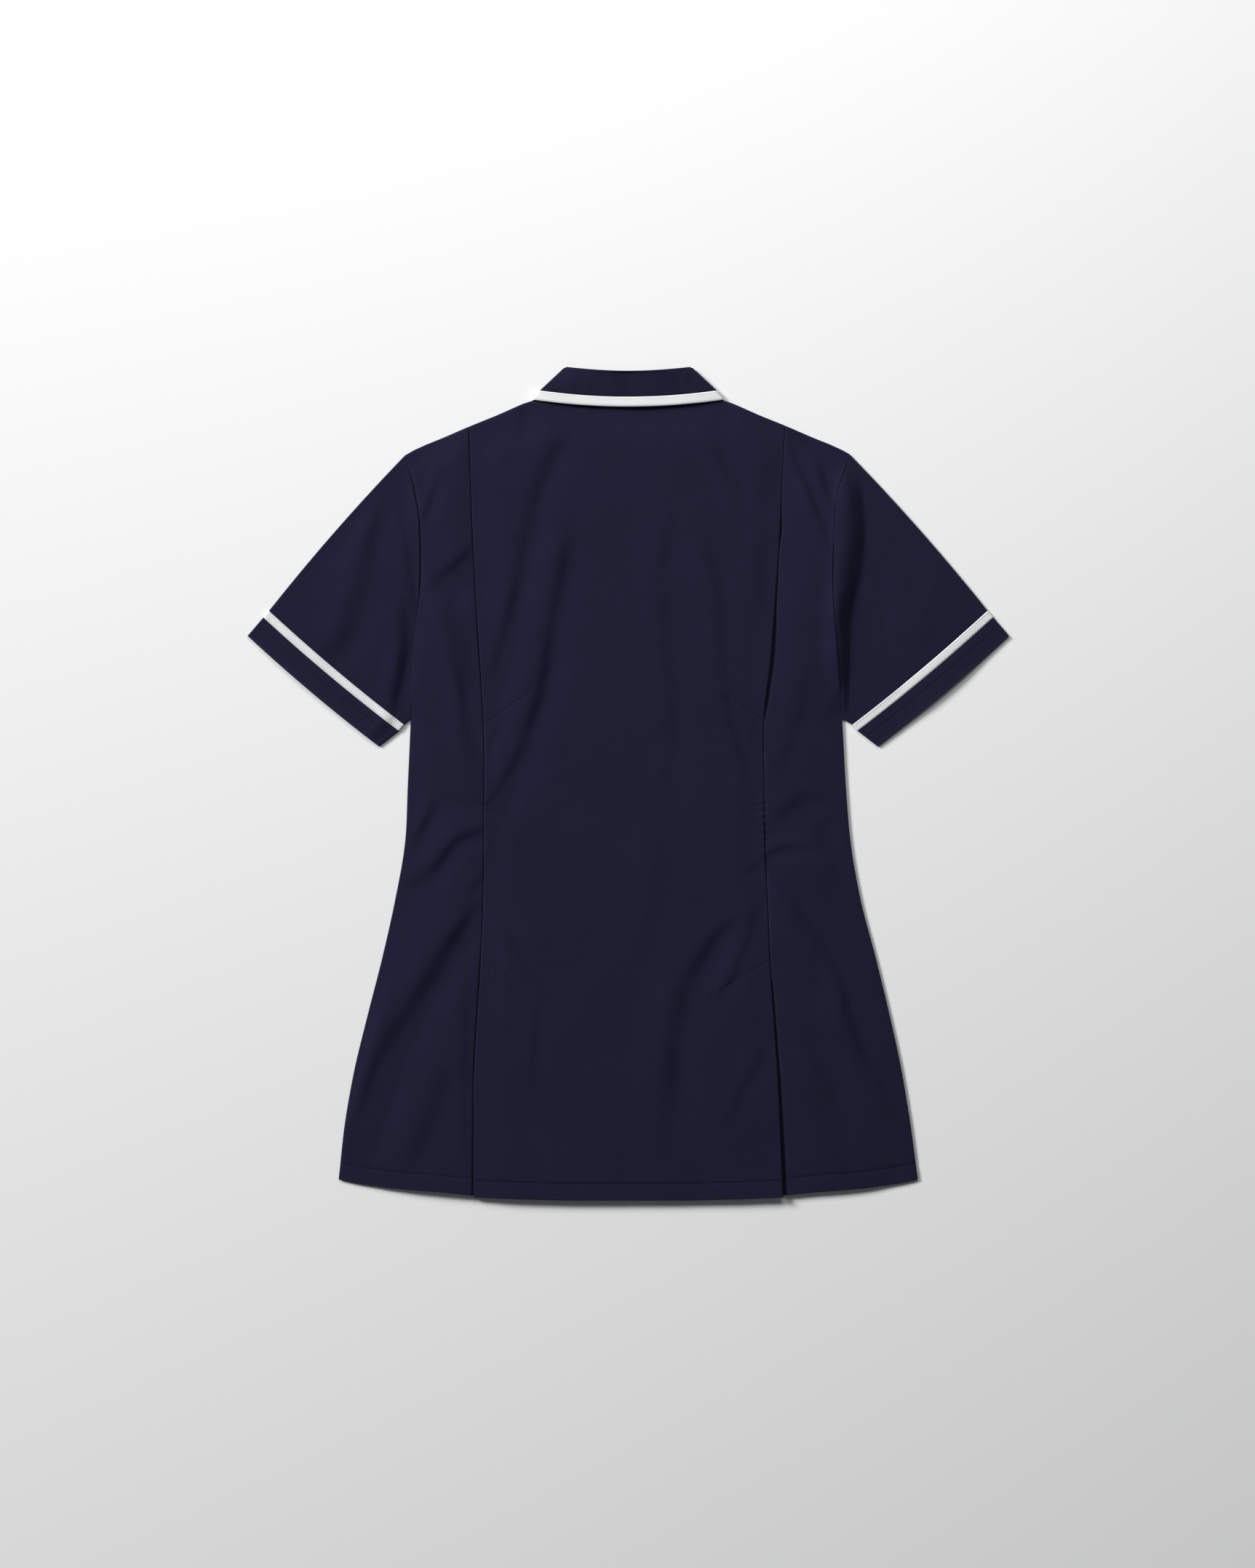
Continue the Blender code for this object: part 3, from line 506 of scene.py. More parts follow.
Y_HEM = TABLE[0, 0]
Y_PLEAT_TOP = body_y(level_of("pleat_top"))
Y_ARMPIT = body_y(level_of("armpit"))
Y_FLAT = body_y(level_of("high_armhole"))
Y_TOP = body_y(LAST)


def top_line(across, neck):
    """The given neck line in the middle and the shoulder line beyond it."""
    return np.where(across < NECK_HALF, neck, np.interp(across, SHOULDER_X, SHOULDER_Y))


def back_top(x):
    """Top edge of the back, with a curved neck."""
    across = np.abs(x)
    return top_line(across, BACK_NECK_Y + (NECK_SIDE_Y - BACK_NECK_Y) * (across / NECK_HALF) ** 2)


def front_top(x):
    """Top edge of a front, with a straight-sided neck."""
    across = np.abs(x)
    return top_line(across, FRONT_NECK_Y + (NECK_SIDE_Y - FRONT_NECK_Y) * across / NECK_HALF)


def rise(level):
    """0 up to the straight rows and 1 at the neck and shoulder line."""
    return np.clip((body_y(level) - Y_FLAT) / (Y_TOP - Y_FLAT), 0.0, 1.0)


def down_skirt(y):
    """0 down to the top of the lower pleat and 1 at the hem."""
    return np.clip((Y_PLEAT_TOP - y) / (Y_PLEAT_TOP - Y_HEM), 0.0, 1.0)


def place_y(x, level, top=back_top, short=0.0):
    """Place up the garment of a point on a row. Rows bend with the hem, the neck and the shoulder."""
    hem_bend = (np.interp(np.abs(x), HEM_X, HEM_RISE) + short) * down_skirt(body_y(level))
    return np.minimum(body_y(level), Y_FLAT) + hem_bend + (top(x) - Y_FLAT) * rise(level)


def hump(across, low_side, high_side):
    """A bell that may be wider on one side."""
    return bell(across, np.where(across < 0, low_side, high_side))


def fold_heights(x, y, folds):
    """What a table's folds add: a swell, a slope at the line and a hollow, uneven in depth."""
    total = np.zeros(np.broadcast(x, y).shape)
    for number, row in enumerate(folds.values()):
        fold = dict(zip(FOLD_COLUMNS, row))
        line = np.array(fold["line"], float) * MM
        long = np.hypot(*(line[-1] - line[0]))
        along = (line[-1] - line[0]) / long
        aside = np.array([-along[1], along[0]])
        travelled = (x - line[0, 0]) * along[0] + (y - line[0, 1]) * along[1]
        across = (x - line[0, 0]) * aside[0] + (y - line[0, 1]) * aside[1]
        inside = np.clip(travelled, 0.0, long)
        downhill = across - smooth_through((line - line[0]) @ along, (line - line[0]) @ aside, inside)
        if aside @ np.array(LIT_FROM) > 0:
            downhill = -downhill
        reach = np.interp(inside, (0.0, long), np.broadcast_to(fold["reach"], 2)) * MM
        lit_outer, far_outer = np.broadcast_to(fold["outer"], 2) * MM
        end = min(FOLD_FADE, long * FOLD_FADE_SHARE)
        beyond = -end * FOLD_FADE_BEYOND
        fade = ease(beyond, end, travelled) * ease(beyond, end, long - travelled)
        fade = fade * (1 + sum(a * np.sin(travelled * b + number * c) for a, b, c in FOLD_DEPTH_WAVES))
        swell = fold["swell"] * hump(downhill + FOLD_CREST * reach, lit_outer, reach)
        hollow = fold["depth"] * hump(downhill - FOLD_CREST * reach, reach, far_outer)
        total += (swell - hollow) * fade * MM
    return total


def scattered_dents():
    """Places, radii and heights of the shallow dents."""
    random = np.random.default_rng(DENT_SEED)
    half_width, half_length = DENT_FIELD
    return np.column_stack([
        random.uniform(-half_width, half_width, DENT_COUNT),
        random.uniform(-half_length, half_length, DENT_COUNT),
        random.uniform(*DENT_RADIUS, DENT_COUNT),
        random.uniform(-DENT_HEIGHT, DENT_HEIGHT, DENT_COUNT),
    ])


DENTS = scattered_dents()


def unevenness(x, y, share=1.0):
    """Long low waves and dents that keep any panel from lying quite flat."""
    total = np.zeros(np.broadcast(x, y).shape)
    for row in WAVES:
        wave = dict(zip(WAVE_COLUMNS, row))
        bend = WAVE_BEND * np.sin(y * WAVE_BEND_RATE + wave["turn"])
        phase = x / (wave["across"] * MM) + y / (wave["up"] * MM) + bend
        total += wave["height"] * MM * np.sin(2 * np.pi * phase + wave["turn"])
    across = (np.asarray(x)[..., None] - DENTS[:, 0]) / DENTS[:, 2]
    up = (np.asarray(y)[..., None] - DENTS[:, 1]) / (DENTS[:, 2] * DENT_STRETCH)
    total += (np.exp(-(across**2) - up**2) * DENTS[:, 3]).sum(axis=-1)
    return total * share


def puckers(along, away, reach=PUCKER_REACH, height=PUCKER_HEIGHT, length=PUCKER_LENGTH):
    """Small uneven ripples that a row of stitches pulls into the cloth on each side of a seam."""
    phase = 2 * np.pi * along / length + PUCKER_DRIFT * np.sin(along * PUCKER_DRIFT_RATE)
    strength = 1 - PUCKER_VARY + PUCKER_VARY * np.sin(along * PUCKER_VARY_RATE + 1.0)
    return height * np.sin(phase) * strength * bell(away, reach)


def waist_gathers(y, away):
    """Close ripples that stand up beside the closed seam below the waist."""
    low, full_low, full_high, high = WAIST_PUCKERS_Y
    at_waist = ease(low, full_low, y) * (1 - ease(full_high, high, y))
    ripple = puckers(y, away, WAIST_PUCKER_REACH, WAIST_PUCKER_HEIGHT, WAIST_PUCKER_LENGTH)
    return at_waist * (ripple + WAIST_PUCKER_HEIGHT * bell(away, WAIST_PUCKER_REACH))


def hem_relief(x, up):
    """The turned hem: a little thicker up to its stitching, which is pulled in, with slanted puckers."""
    band = HEM_BAND * (1 - ease(HEM_STITCH - HEM_BAND_FADE, HEM_STITCH, up)) * ease(0.0, HEM_EDGE, up)
    line = -HEM_LINE_DIP * hump(up - HEM_STITCH, *HEM_LINE_REACH)
    along = x + up * HEM_PUCKER_SLANT
    away = up - HEM_STITCH * HEM_PUCKER_MIDDLE
    return band + line + puckers(along, away, HEM_PUCKER_REACH, HEM_PUCKER_HEIGHT)


def slant_relief(x, y):
    """The dips that the slanted rows of stitches pull into the centre back."""
    total = np.zeros(np.broadcast(x, y).shape)
    for ends in SLANTS.values():
        first, last = np.array(ends) * MM
        long = np.hypot(*(last - first))
        run = (last - first) / long
        along = np.clip((x - first[0]) * run[0] + (y - first[1]) * run[1], 0.0, long)
        away = np.hypot(x - first[0] - run[0] * along, y - first[1] - run[1] * along)
        total -= SLANT_DIP * bell(away, SLANT_REACH)
        total += puckers(along, away, SLANT_PUCKER_REACH, FAINT_PUCKER_HEIGHT)
    return total


def sewn_shut(level):
    """1 where the princess line is a closed seam, 0 where it is an open pleat."""
    y = body_y(level)
    low = ease(Y_PLEAT_TOP - LOWER_PLEAT_SLANT, Y_PLEAT_TOP, y)
    high = ease(Y_ARMPIT, Y_ARMPIT + UPPER_PLEAT_SLANT, y)
    return low * (1 - high)


def pleat_depth(level):
    """How far the hidden layers run under the centre back from its folded edge."""
    y = body_y(level)
    up = np.clip((y - Y_ARMPIT) / UPPER_PLEAT_SLANT, 0.0, 1.0)
    down = np.clip((Y_PLEAT_TOP - y) / LOWER_PLEAT_SLANT, 0.0, 1.0)
    upper = (UPPER_PLEAT_DEPTH - SEAM_ALLOWANCE) * up
    return SEAM_ALLOWANCE + upper + (LOWER_PLEAT_DEPTH - SEAM_ALLOWANCE) * down


def gape(side, level):
    """How far the pleat stands open, most below the middle of the upper pleat and at the hem."""
    y = body_y(level)
    places, openings = np.array(UPPER_OPENING).T
    upper = smooth_through(places, openings, np.clip(y, places[0], places[-1]))
    upper = np.where(y > places[0], upper, 0.0)
    lower = (1 - sewn_shut(level)) * down_skirt(y) ** LOWER_OPENING_CURVE
    return np.where(y < Y_PLEAT_TOP, lower, upper) * (LEFT_OPENING if side < 0 else 1.0)


def return_height(across, seam, depth, edge_height):
    """Height of the centre back's hidden return."""
    share = np.clip((across - (seam - depth * 0.5)) / (depth * 0.5 - FOLD_RADIUS), 0.0, 1.0)
    return stacked(2) + (edge_height - LAYER - stacked(2)) * share


def centre_height(x, y, level):
    """Height of the middle of the centre back's cloth."""
    across = np.abs(x)
    seam = seam_beside(x, level)
    opening = np.where(x < 0, gape(-1, level), gape(1, level))
    lift = np.where(x < 0, GAPE_LIFT[-1], GAPE_LIFT[1])
    depth = pleat_depth(level)
    height = CENTRE_LEVEL + fold_heights(x, y, CENTRE_FOLDS) + unevenness(x, y)
    height = height + lift * opening * ease(seam - depth * GAPE_SHARE, seam, across)
    down_to_seam = ease(seam - SEAM_SINK_REACH, seam, across) * (1 - 0.5 * opening)
    height = height - (CENTRE_LEVEL - stacked(3)) * down_to_seam
    height = height + puckers(y, seam - across) * (0.5 + sewn_shut(level))
    over_return = ease(0.0, RETURN_MARGIN, across - (seam - depth - 2 * RETURN_MARGIN))
    near_middle = ease(LAP_MARGIN, LAP_HALF + 2 * LAP_CLEAR, across)
    over_lap = near_middle * ease(Y_FLAT - LAP_FADE[0], Y_FLAT - LAP_FADE[1], y)
    least = CENTRE_LEAST + (stacked(3) - CENTRE_LEAST) * np.maximum(over_return, over_lap)
    height = settled(height, least) + waist_gathers(y, seam - across)
    at_top = stacked(2) + LAYER * ease(WING_CLEAR, WING_CLEAR + WING_RAMP, across)
    height = at_top + (height - at_top) * ease(*NECK_REACH, back_top(x) - y)
    return height + hem_relief(x, y - place_y(x, 0.0)) + slant_relief(x, y)


def armhole_loft(side, level):
    """Air under the back along the armhole, none at the armpit and the shoulder."""
    t = np.clip((level - level_of("armpit")) / (LAST - level_of("armpit")), 0.0, 1.0)
    return ARMHOLE_LOFT[side] * np.sin(np.pi * t) ** LOFT_CURVE


def armhole_step(side, y):
    """How much the side back and the sleeve rise at their seam. High up, the left sleeve is on top."""
    if side > 0:
        return RIGHT_STEP
    over = (1 + LEFT_STEP_BACK) * ease(*LEFT_STEP_Y, y) - LEFT_STEP_BACK
    return LEFT_STEP[0] * over, LEFT_STEP[1] * over


def side_height(x, y, side, level):
    """Height of the middle of a side back's cloth, from under the centre back out to the side seam."""
    seam = np.abs(seam_x(side, level))
    edge = np.abs(side_x(side, level))
    across = np.abs(x)
    from_seam = across - seam
    from_edge = edge - across
    below_top = back_top(x) - y
    share = np.clip(from_seam / (edge - seam), 0.0, 1.0)
    out = SIDE_RISE[side] * (1 - ease(0.0, 1.0, share)) + SIDE_BILLOW * np.sin(np.pi * share)
    height = stacked(1) + out + armhole_loft(side, level) * share**LOFT_SPREAD
    height = height + fold_heights(x, y, SIDE_FOLDS) + unevenness(x, y, SIDE_UNEVENNESS)
    above_armpit = ease(Y_ARMPIT - ARMPIT_FADE / 3, Y_ARMPIT + ARMPIT_FADE, y)
    height = height + fold_heights(x, y, SLEEVE_FOLDS) * above_armpit * ease(0.0, 1.0, share)
    height = settled(height, stacked(1) + SIDE_CLEAR)
    below_armhole = 1 - ease(Y_ARMPIT, Y_ARMPIT + ARMPIT_FADE, body_y(level))
    edge_fade = 1 - below_armhole * (1 - ease(0.0, EDGE_REACH, from_edge))
    tip = back_top(side_x(side, LAST))
    top_fade = ease(0.0, TOP_REACH, below_top - (back_top(x) - tip) * ease(*TIP_SHARES, share))
    by_seam = 1 - (1 - top_fade) * ease(*TOP_FADE_SHARES, share)
    groove = SHUT_GROOVE + (OPEN_GROOVE - SHUT_GROOVE) * gape(side, level)
    height = stacked(1) + (height - stacked(1)) * ease(0.0, groove, from_seam) * edge_fade * by_seam
    height = height + puckers(y, from_edge) * edge_fade * ease(0.0, HEM_EDGE, from_edge)
    ridge = armhole_step(side, y)[0] * (1 - below_armhole) * bell(from_edge, ARMHOLE_DIP_REACH) * top_fade
    by_edge = below_armhole * (1 - ease(0.0, EDGE_TUCK_REACH, from_edge))
    tuck = EDGE_TUCK * np.maximum(by_edge, 1 - ease(0.0, EDGE_TUCK_REACH, below_top))
    hem = hem_relief(x, y - place_y(x, 0.0, short=SIDE_HEM_SHORT)) * ease(0.0, SEAM_CLEAR, from_seam)
    return height + ridge - tuck + hem


def body_levels(step=ROW_STEP, waist_step=None):
    """Levels of the body's rows, closer together along the turned hem and, if asked, at the waist."""
    start = Y_HEM + HEM_ROWS[-1]
    count = round((Y_TOP - start) / step)
    rows = np.concatenate([Y_HEM + np.array(HEM_ROWS), np.linspace(start, Y_TOP, count + 1)[1:]])
    if waist_step:
        low, high = WAIST_PUCKERS_Y[0], WAIST_PUCKERS_Y[-1]
        away = rows[(rows < low - step / 2) | (rows > high + step / 2)]
        rows = np.sort(np.concatenate([away, np.arange(low, high, waist_step)]))
    return level_at(rows)


def armhole_levels():
    """Levels along the armhole, the first at the armpit."""
    count = round((Y_TOP - Y_ARMPIT) / ROW_STEP)
    return level_at(np.linspace(Y_ARMPIT, Y_TOP, count + 1))


def spread_between(low, high, step, first=0.0007, growth=1.35):
    """Places from low to high that start and end close together."""
    ends = [0.0]
    gap = first
    while gap < step:
        ends.append(ends[-1] + gap)
        gap *= growth
    ends = np.array(ends)
    middle_length = high - low - 2 * ends[-1]
    count = max(1, round(middle_length / step))
    middle = low + ends[-1] + middle_length * np.arange(1, count) / count
    return np.concatenate([low + ends, middle, high - ends[::-1]])


def grid_normals(middle, tube):
    """Unit normals of a grid of points."""
    if tube:
        across = np.roll(middle, -1, axis=1) - np.roll(middle, 1, axis=1)
    else:
        across = np.gradient(middle, axis=1)
    up = np.gradient(middle, axis=0)
    normal = np.cross(across, up)
    return normal / np.maximum(np.linalg.norm(normal, axis=-1, keepdims=True), 1e-12)


def arc_lengths(points, axis):
    """Distance travelled along one axis of a grid."""
    steps = np.linalg.norm(np.diff(points, axis=axis), axis=-1)
    travelled = np.cumsum(steps, axis=axis)
    start = np.zeros_like(np.take(travelled, [0], axis=axis))
    return np.concatenate([start, travelled], axis=axis)


def add_object(name, data):
    """A new object in the scene, at the origin."""
    made = bpy.data.objects.new(name, data)
    bpy.context.scene.collection.objects.link(made)
    return made


def wear_and_highlight_hem(x, y, short=0.0):
    """How pale the hem's lower edge is, partly from wear and partly as a painted highlight."""
    return HEM_WEAR_AND_HIGHLIGHT * np.exp(-(y - place_y(x, 0.0, short=short)) / WEAR_AND_HIGHLIGHT_REACH)


def boundary(rows, columns, tube):
    """Edge loops of a grid, each a list of places in the grid and of the next places inwards."""
    if tube:
        first = [((0, c), (1, c)) for c in range(columns + 1)]
        last = [((rows - 1, c), (rows - 2, c)) for c in range(columns, -1, -1)]
        return [first, last]
    loop = [((0, c), (1, min(max(c, 1), columns - 2))) for c in range(columns)]
    loop += [((r, columns - 1), (min(max(r, 1), rows - 2), columns - 2)) for r in range(1, rows)]
    loop += [((rows - 1, c), (rows - 2, min(max(c, 1), columns - 2))) for c in range(columns - 2, -1, -1)]
    loop += [((r, 0), (min(max(r, 1), rows - 2), 1)) for r in range(rows - 2, -1, -1)]
    return [loop]


def cloth_shell(name, middle, material, tube=False, thickness=CLOTH, wear_and_highlight=0.0):
    """A closed shell of cloth round a grid of middle points, with rounded rims and its own UV in metres."""
    rows, columns = middle.shape[:2]
    half = grid_normals(middle, tube) * thickness / 2
    wrapped = np.concatenate([middle, middle[:, :1]], axis=1) if tube else middle
    uv_columns = wrapped.shape[1]
    u = arc_lengths(wrapped, 1)
    u = u - u[:, uv_columns // 2, None]
    uv = np.stack([u, arc_lengths(wrapped, 0)], axis=-1).reshape(-1, 2)
    r, c = np.meshgrid(np.arange(rows - 1), np.arange(uv_columns - 1), indexing="ij")
    turn = ((0, 0), (0, 1), (1, 1), (1, 0))
    top = np.stack([(r + dr) * columns + (c + dc) % columns for dr, dc in turn], axis=-1).reshape(-1, 4)
    top_uv = np.stack([(r + dr) * uv_columns + c + dc for dr, dc in turn], axis=-1).reshape(-1, 4)
    inside = rows * columns
    faces = [top, top[:, ::-1] + inside]
    face_uvs = [top_uv, top_uv[:, ::-1]]
    points = [(middle + half).reshape(-1, 3), (middle - half).reshape(-1, 3)]
    wear_and_highlight_values = np.broadcast_to(wear_and_highlight, (rows, columns))
    wear_and_highlight_parts = [wear_and_highlight_values.reshape(-1)] * 2
    count = 2 * inside
    for loop in boundary(rows, columns, tube):
        (edge_r, edge_c), (in_r, in_c) = np.array(loop).transpose(1, 2, 0)
        outer_ids = edge_r * columns + edge_c % columns
        inner_ids = outer_ids + inside
        uv_ids = edge_r * uv_columns + edge_c
        edge = middle[edge_r, edge_c % columns][:-1]
        out = edge - middle[in_r, in_c % columns][:-1]
        out = out / np.maximum(np.linalg.norm(out, axis=1, keepdims=True), 1e-12)
        n = len(edge)
        rim_ids = count + np.arange(n + 1) % n
        a, b = slice(0, n), slice(1, n + 1)
        faces.append(np.stack([outer_ids[b], outer_ids[a], rim_ids[a], rim_ids[b]], axis=-1))
        faces.append(np.stack([rim_ids[b], rim_ids[a], inner_ids[a], inner_ids[b]], axis=-1))
        face_uvs += [np.stack([uv_ids[b], uv_ids[a], uv_ids[a], uv_ids[b]], axis=-1)] * 2
        points.append(edge + out * thickness * RIM)
        wear_and_highlight_parts.append(wear_and_highlight_values[edge_r, edge_c % columns][:-1])
        count += n
    points = np.concatenate(points)
    faces = np.concatenate(faces)
    face_uvs = np.concatenate(face_uvs)
    quads = points[faces]
    volume = np.einsum("ij,ij->i", quads[:, 0], np.cross(quads[:, 1], quads[:, 2])).sum()
    volume += np.einsum("ij,ij->i", quads[:, 0], np.cross(quads[:, 2], quads[:, 3])).sum()
    if volume < 0:
        faces = faces[:, ::-1]
        face_uvs = face_uvs[:, ::-1]
    mesh = bpy.data.meshes.new(name)
    mesh.from_pydata(points.tolist(), [], faces.tolist())
    layer = mesh.uv_layers.new(name="cloth")
    layer.data.foreach_set("uv", uv[face_uvs.reshape(-1)].reshape(-1).astype(np.float32))
    # Share of pale edge colour per point: partly wear, partly a painted highlight where edges catch the
    # light
    attribute = mesh.attributes.new("wear_and_highlight", "FLOAT", "POINT")
    attribute.data.foreach_set("value", np.concatenate(wear_and_highlight_parts).astype(np.float32))
    mesh.shade_smooth()
    mesh.materials.append(material)
    return add_object(name, mesh)


def make_back_centre(material):
    """Centre back, with the folded edge and the hidden return of the pleat on each side."""
    turn = np.radians(np.linspace(-BEND_HALF, BEND_HALF, BEND_POINTS))
    under_shares = np.linspace(1.0, 0.0, RETURN_POINTS)
    rows, wear_and_highlight_rows = [], []
    for level in body_levels(waist_step=WAIST_ROW_STEP):
        left = seam_x(-1, level) + FOLD_RADIUS
        right = seam_x(1, level) - FOLD_RADIUS
        x = spread_between(seam_x(-1, 0.0) + FOLD_RADIUS, seam_x(1, 0.0) - FOLD_RADIUS, COLUMN_STEP)
        x = left + (x - x[0]) * (right - left) / (x[-1] - x[0])
        z = centre_height(x, place_y(x, level), level)
        depth = pleat_depth(level)
        ends = []
        for side in (-1, 1):
            edge_height = z[0] if side < 0 else z[-1]
            seam = abs(seam_x(side, level))
            over = side * x > seam - depth - SEAM_CLEAR
            z[over] = np.maximum(z[over], return_height(np.abs(x[over]), seam, depth, edge_height) + LAYER)
            under = seam - FOLD_RADIUS - (depth - FOLD_RADIUS) * under_shares
            line = [(side * a, h) for a, h in zip(under, return_height(under, seam, depth, edge_height))]
            for angle in turn:
                bend = seam - FOLD_RADIUS + LAYER / 2 * np.cos(angle) + BEND_PROUD
                line.append((side * bend, edge_height - LAYER / 2 + LAYER / 2 * np.sin(angle)))
            ends.append(line)
        line = np.array(ends[0] + list(zip(x, z)) + ends[1][::-1])
        y = place_y(line[:, 0], level)
        rows.append(np.column_stack([line[:, 0], y, line[:, 1]]))
        # Painted highlight, with some wear, along the pleat's folded edge and the hem
        wear_and_highlight = SEAM_WEAR_AND_HIGHLIGHT * np.exp(-(seam_beside(line[:, 0], level) - np.abs(line[:, 0])) / FOLD_WEAR_AND_HIGHLIGHT_REACH)
        wear_and_highlight_rows.append(np.maximum(wear_and_highlight, wear_and_highlight_hem(line[:, 0], y)))
    return cloth_shell("back_centre_cloth", np.array(rows), material, wear_and_highlight=np.array(wear_and_highlight_rows))


def make_back_side(side, material):
    """Side back, from its hidden extension under the pleat to the side seam and the armhole."""
    rows, wear_and_highlight_rows = [], []
    out_shares = spread_between(0.0, SIDE_WIDTH, COLUMN_STEP) / SIDE_WIDTH
    for level in body_levels():
        seam = abs(seam_x(side, level))
        edge = abs(side_x(side, level)) - SEAM_GAP / 2
        hidden = np.linspace(seam - pleat_depth(level), seam, HIDDEN_POINTS)[:-1]
        across = np.concatenate([hidden, seam + (edge - seam) * out_shares])
        x = side * across
        y = place_y(x, level, short=SIDE_HEM_SHORT)
        rows.append(np.column_stack([x, y, side_height(x, y, side, level)]))
        # Painted highlight, with some wear, along the side seam and the hem
        wear_and_highlight = SEAM_WEAR_AND_HIGHLIGHT * np.exp(-(edge - across) / WEAR_AND_HIGHLIGHT_REACH) * ease(seam, seam + SEAM_CLEAR, across)
        wear_and_highlight_rows.append(np.maximum(wear_and_highlight, wear_and_highlight_hem(x, y, SIDE_HEM_SHORT)))
    name = "back_side_" + HAND[side] + "_cloth"
    return cloth_shell(name, np.array(rows), material, wear_and_highlight=np.array(wear_and_highlight_rows))


def front_height(x, y, side, level):
    """Height of the middle of a front's cloth, which lies on the floor but for its soft folds."""
    across = np.abs(x)
    hidden = np.abs(seam_x(side, level)) - pleat_depth(level)
    lap = LAP_HALF + LAP_CLEAR
    over_wing = ease(0.0, WING_RISE, rise(level)) * (1 - ease(WING_CLEAR, WING_CLEAR + WING_RAMP, across))
    over_lap = 1 - ease(lap, lap + LAP_RAMP, x) if side > 0 else 0.0
    hollow = (1 - ease(hidden - SEAM_ALLOWANCE, hidden, across)) * ease(lap, lap + LAP_RAMP, across)
    below_neck = 1 - ease(Y_FLAT - FRONT_TOP_FADE[0], Y_FLAT + FRONT_TOP_FADE[1], y)
    hollow = hollow * below_neck * ease(0.0, FRONT_HEM_FADE, y - Y_HEM)
    folds = fold_heights(x, y, FRONT_FOLDS) + unevenness(x, y, FRONT_UNEVENNESS)
    folds = np.maximum(folds, 0.0) * hollow
    return stacked(0) + LAYER * (over_wing + over_lap) + folds


def make_front(side, material):
    """Front, on the floor. The right one laps over the left at the centre front."""
    rows, wear_and_highlight_rows = [], []
    inner = spread_between(-LAP_HALF, NECK_HALF, FRONT_COLUMN_STEP)
    for level in body_levels(FRONT_ROW_STEP):
        edge = abs(side_x(side, level)) - FRONT_INSET
        across = np.concatenate([inner, np.linspace(NECK_HALF, edge, FRONT_OUTER_POINTS)[1:]])
        x = side * across
        y = place_y(x, level, front_top, FRONT_HEM_SHORT)
        rows.append(np.column_stack([x, y, front_height(x, y, side, level)]))
        # Pale front edge: partly wear, partly a painted highlight
        wear_and_highlight_rows.append(np.exp(-(edge - across) / FRONT_WEAR_AND_HIGHLIGHT_REACH))
    name = "front_" + HAND[side] + "_cloth"
    return cloth_shell(name, np.array(rows), material, wear_and_highlight=np.array(wear_and_highlight_rows))


def cross_line(side, first, last=None, share=0.0):
    """Inner and outer end of a cross line of the sleeve, or of a line part way to a second one."""
    ends = np.array(SLEEVE_LINES[first])
    if last:
        ends = ends + (np.array(SLEEVE_LINES[last]) - ends) * share
    outer, inner = ends * (side, 1.0)
    return inner, outer


def armhole_points(side, levels):
    x = side_x(side, levels)
    return np.column_stack([x + side * SEAM_GAP / 2, place_y(x, levels)])


def travelled_along(points):
    """Distance travelled along a line to each of its points."""
    return np.concatenate([[0.0], np.cumsum(np.hypot(*np.diff(points, axis=0).T))])


def armhole_fractions(side, levels):
    """How far along the armhole each level lies, from 0 at the armpit to 1 at the shoulder."""
    along = travelled_along(armhole_points(side, levels))
    return along / along[-1]


def bowed(side, inner, outer, fractions):
    """Points on a cross line of the sleeve, bowed a little towards the cuff."""
    run = outer - inner
    down = np.array([run[1], -run[0]]) * side / np.hypot(*run)
    bow = BRAID_BOW * 4 * fractions * (1 - fractions)
    return inner + run * fractions[:, None] + down * bow[:, None]


def tube_bend(end, out, top_z, angles):
    """Points round a folded end of a flattened tube."""
    middle_z = (top_z + stacked(0)) / 2
    places = end + out * LAYER / 2 * np.cos(angles)[:, None]
    return np.column_stack([places, middle_z + (top_z - middle_z) * np.sin(angles)])


